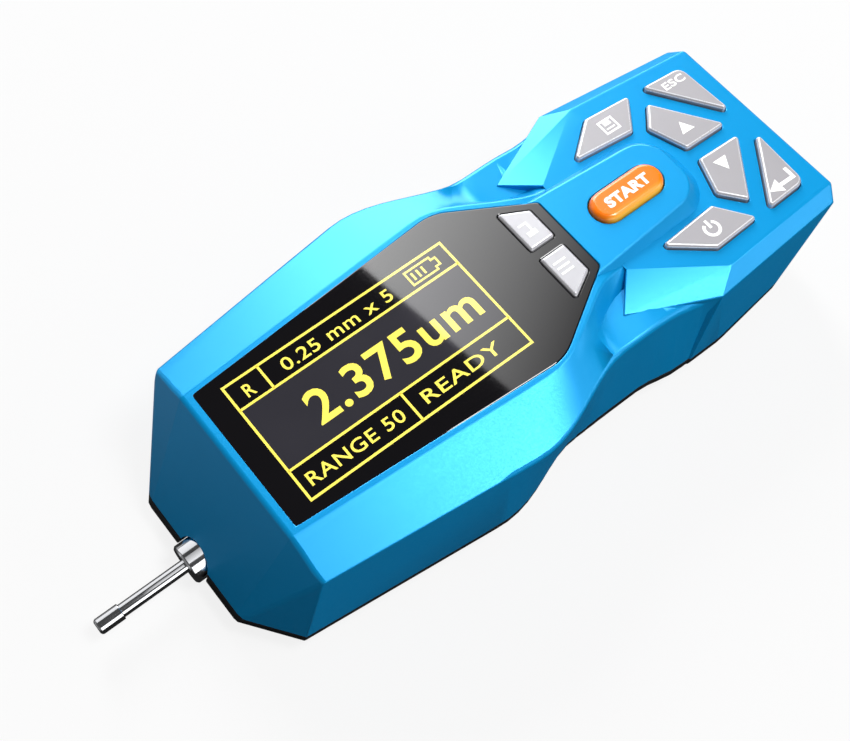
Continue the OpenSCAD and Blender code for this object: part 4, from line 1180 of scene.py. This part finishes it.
@dataclass
class Fittings:
    """Case screws with cross recesses, the stand insert's thread, and the socket's tongue."""

    # Points on each ring of a turned piece, and rings along the insert's thread.
    steps: int = 96
    thread_rings: int = 73
    # Radii of a screw's head and shank and height of the head.
    head_mm: float = 2.4
    shank_mm: float = 1.2
    head_rise: float = 1.6
    # The head's rounded edge: how far inside the head and how far above its face each ring lies.
    head_edge: tuple[Pair, ...] = ((0.3, 0.0), (0.08, 0.1), (0.0, 0.35))
    # Length and half width of the recess's arms, its depth, and the share that its floor keeps.
    recess: Triple = (1.55, 0.42, 0.9)
    recess_taper: float = 0.8
    # Pitch and depth of the thread, radius of its bore, and width and slope of its mouth.
    thread_mm: float = 0.7
    thread_depth: float = 0.25
    bore_mm: float = 2.1
    mouth_mm: float = 0.5
    mouth_slope: float = 1.2
    # Back, mouth and half width of the socket's tongue, its height, thickness and cut corners.
    tongue_mm: Triple = (148.4, 154.6, 1.9)
    tongue_z: float = 14.75
    tongue_thick: float = 0.7
    corner_mm: float = 0.5
    # Places of the contacts across the tongue, their start behind its back, width and height.
    contacts: tuple[float, ...] = (-1.3, -0.65, 0.0, 0.65, 1.3)
    contact_start: float = 1.0
    contact_mm: float = 0.34
    contact_lift: float = 0.76

    def build(self) -> None:
        """Builds the fittings that are seen from below and behind."""
        screws = make_piece("case_screws_dressed", self.screws(), PART, STEEL, "housing")
        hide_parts("case_screws")
        insert = make_piece("stand_insert_dressed", [self.insert()], PART, BRASS, "housing")
        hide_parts("stand_insert")
        floor = Plane(0.0, self.tongue_z)
        make_piece("socket_tongue", [self.tongue()], floor, BLACK_ABS, "housing")
        make_piece("socket_contacts", self.strips(), floor, BRASS, "housing")

    def screws(self) -> list[Shape]:
        """Turns the screws: rings run from the recess's floor over the head and up the shank.

        The recess is a cross, whose reach at an angle is the longer of its two arms' reaches.

        Returns:
            Points in mm and faces of each screw.
        """
        low, high = (np.array(corner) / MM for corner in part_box("case_screws"))
        turn = np.linspace(0.0, 2.0 * np.pi, self.steps, endpoint=False)
        arm, half, depth = self.recess
        round_way = np.column_stack([np.cos(turn), np.sin(turn)])
        # The smallest cosine and sine keep the divisions finite.
        along, across = np.maximum(np.abs(round_way), 1e-6).T
        lengthwise = np.minimum(arm / along, half / across)
        cross = np.maximum(lengthwise, np.minimum(half / along, arm / across))
        full = np.ones(self.steps)
        base, brow = low[2], low[2] + self.head_rise
        profile = [(cross * self.recess_taper, base + depth), (cross, base)]
        profile += [((self.head_mm - inset) * full, base + up) for inset, up in self.head_edge]
        profile += [(self.head_mm * full, brow)]
        profile += [(self.shank_mm * full, z) for z in (brow, high[2])]
        rings = np.stack([np.column_stack([r[:, None] * round_way, z * full]) for r, z in profile])
        places = [
            (x, y, 0.0)
            for x in (low[0] + self.head_mm, high[0] - self.head_mm)
            for y in (low[1] + self.head_mm, high[1] - self.head_mm)
        ]
        return [turned(rings + np.array(place)) for place in places]

    def insert(self) -> Shape:
        """Turns the insert: a plain outer wall, and a bore that rises and falls along a helix.

        The bore opens to a cone at its mouth.

        Returns:
            Points in mm and faces.
        """
        low, high = (np.array(corner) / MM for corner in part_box("stand_insert"))
        turn = np.linspace(0.0, 2.0 * np.pi, self.steps, endpoint=False)
        height = np.linspace(high[2], low[2], self.thread_rings)[:, None]
        phase = (height / self.thread_mm - turn / (2.0 * np.pi)) % 1.0
        bore = self.bore_mm + self.thread_depth * (1.0 - np.abs(2.0 * phase - 1.0))
        mouth = self.bore_mm + self.mouth_mm - self.mouth_slope * (height - low[2])
        bore = np.maximum(bore, mouth)
        outer = np.full((2, self.steps), (high[0] - low[0]) / 2.0)
        radius = np.vstack([outer, bore])
        z = np.vstack([[[low[2]], [high[2]]], height]) + 0.0 * turn
        x = (low[0] + high[0]) / 2.0 + radius * np.cos(turn)
        return turned(np.stack([x, radius * np.sin(turn), z], axis=-1), looped=True)

    def tongue(self) -> Shape:
        """Raises the tongue's outline, whose mouth corners are cut, to a plate.

        Returns:
            Points in mm and faces.
        """
        back, mouth, half = self.tongue_mm
        cut = self.corner_mm
        outline = np.array(
            [[back, -half], [mouth - cut, -half], [mouth, cut - half], [mouth, half - cut],
             [mouth - cut, half], [back, half]]
        )
        return filled(outline, self.tongue_thick)

    def strips(self) -> list[Shape]:
        """Raises the contact strips over the tongue.

        Returns:
            Points in mm and faces of each strip.
        """
        ends = (self.tongue_mm[0] + self.contact_start, self.tongue_mm[1] - self.corner_mm)
        lines = [np.array([[x, y] for x in ends]) for y in self.contacts]
        return [stroke(line, self.contact_mm, self.contact_lift) for line in lines]


def dress_nodes() -> None:
    """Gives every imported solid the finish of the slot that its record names."""
    by_slot = {finish.slot: finish for finish in NODE_FINISHES}
    for name, node in frame["nodes"].items():
        for slot in node.material_slots:
            label = slot.material.name.split(".")[0] if slot.material else ""
            if label in by_slot:
                slot.material = by_slot[label].material()
        LOG.info("node %s dressed", name)


def main() -> None:
    """Sets the view scene up and dresses the tester piece by piece."""
    logging.basicConfig(level=logging.INFO)
    bpy.context.scene.view_settings.view_transform = "Standard"
    studio = Studio()
    studio.camera()
    studio.floor()
    studio.room()
    studio.lights()
    dress_nodes()
    Housing().build()
    Display().build()
    Keypad().build()
    Pickup().build()
    Fittings().build()


if __name__ == "__main__":
    main()
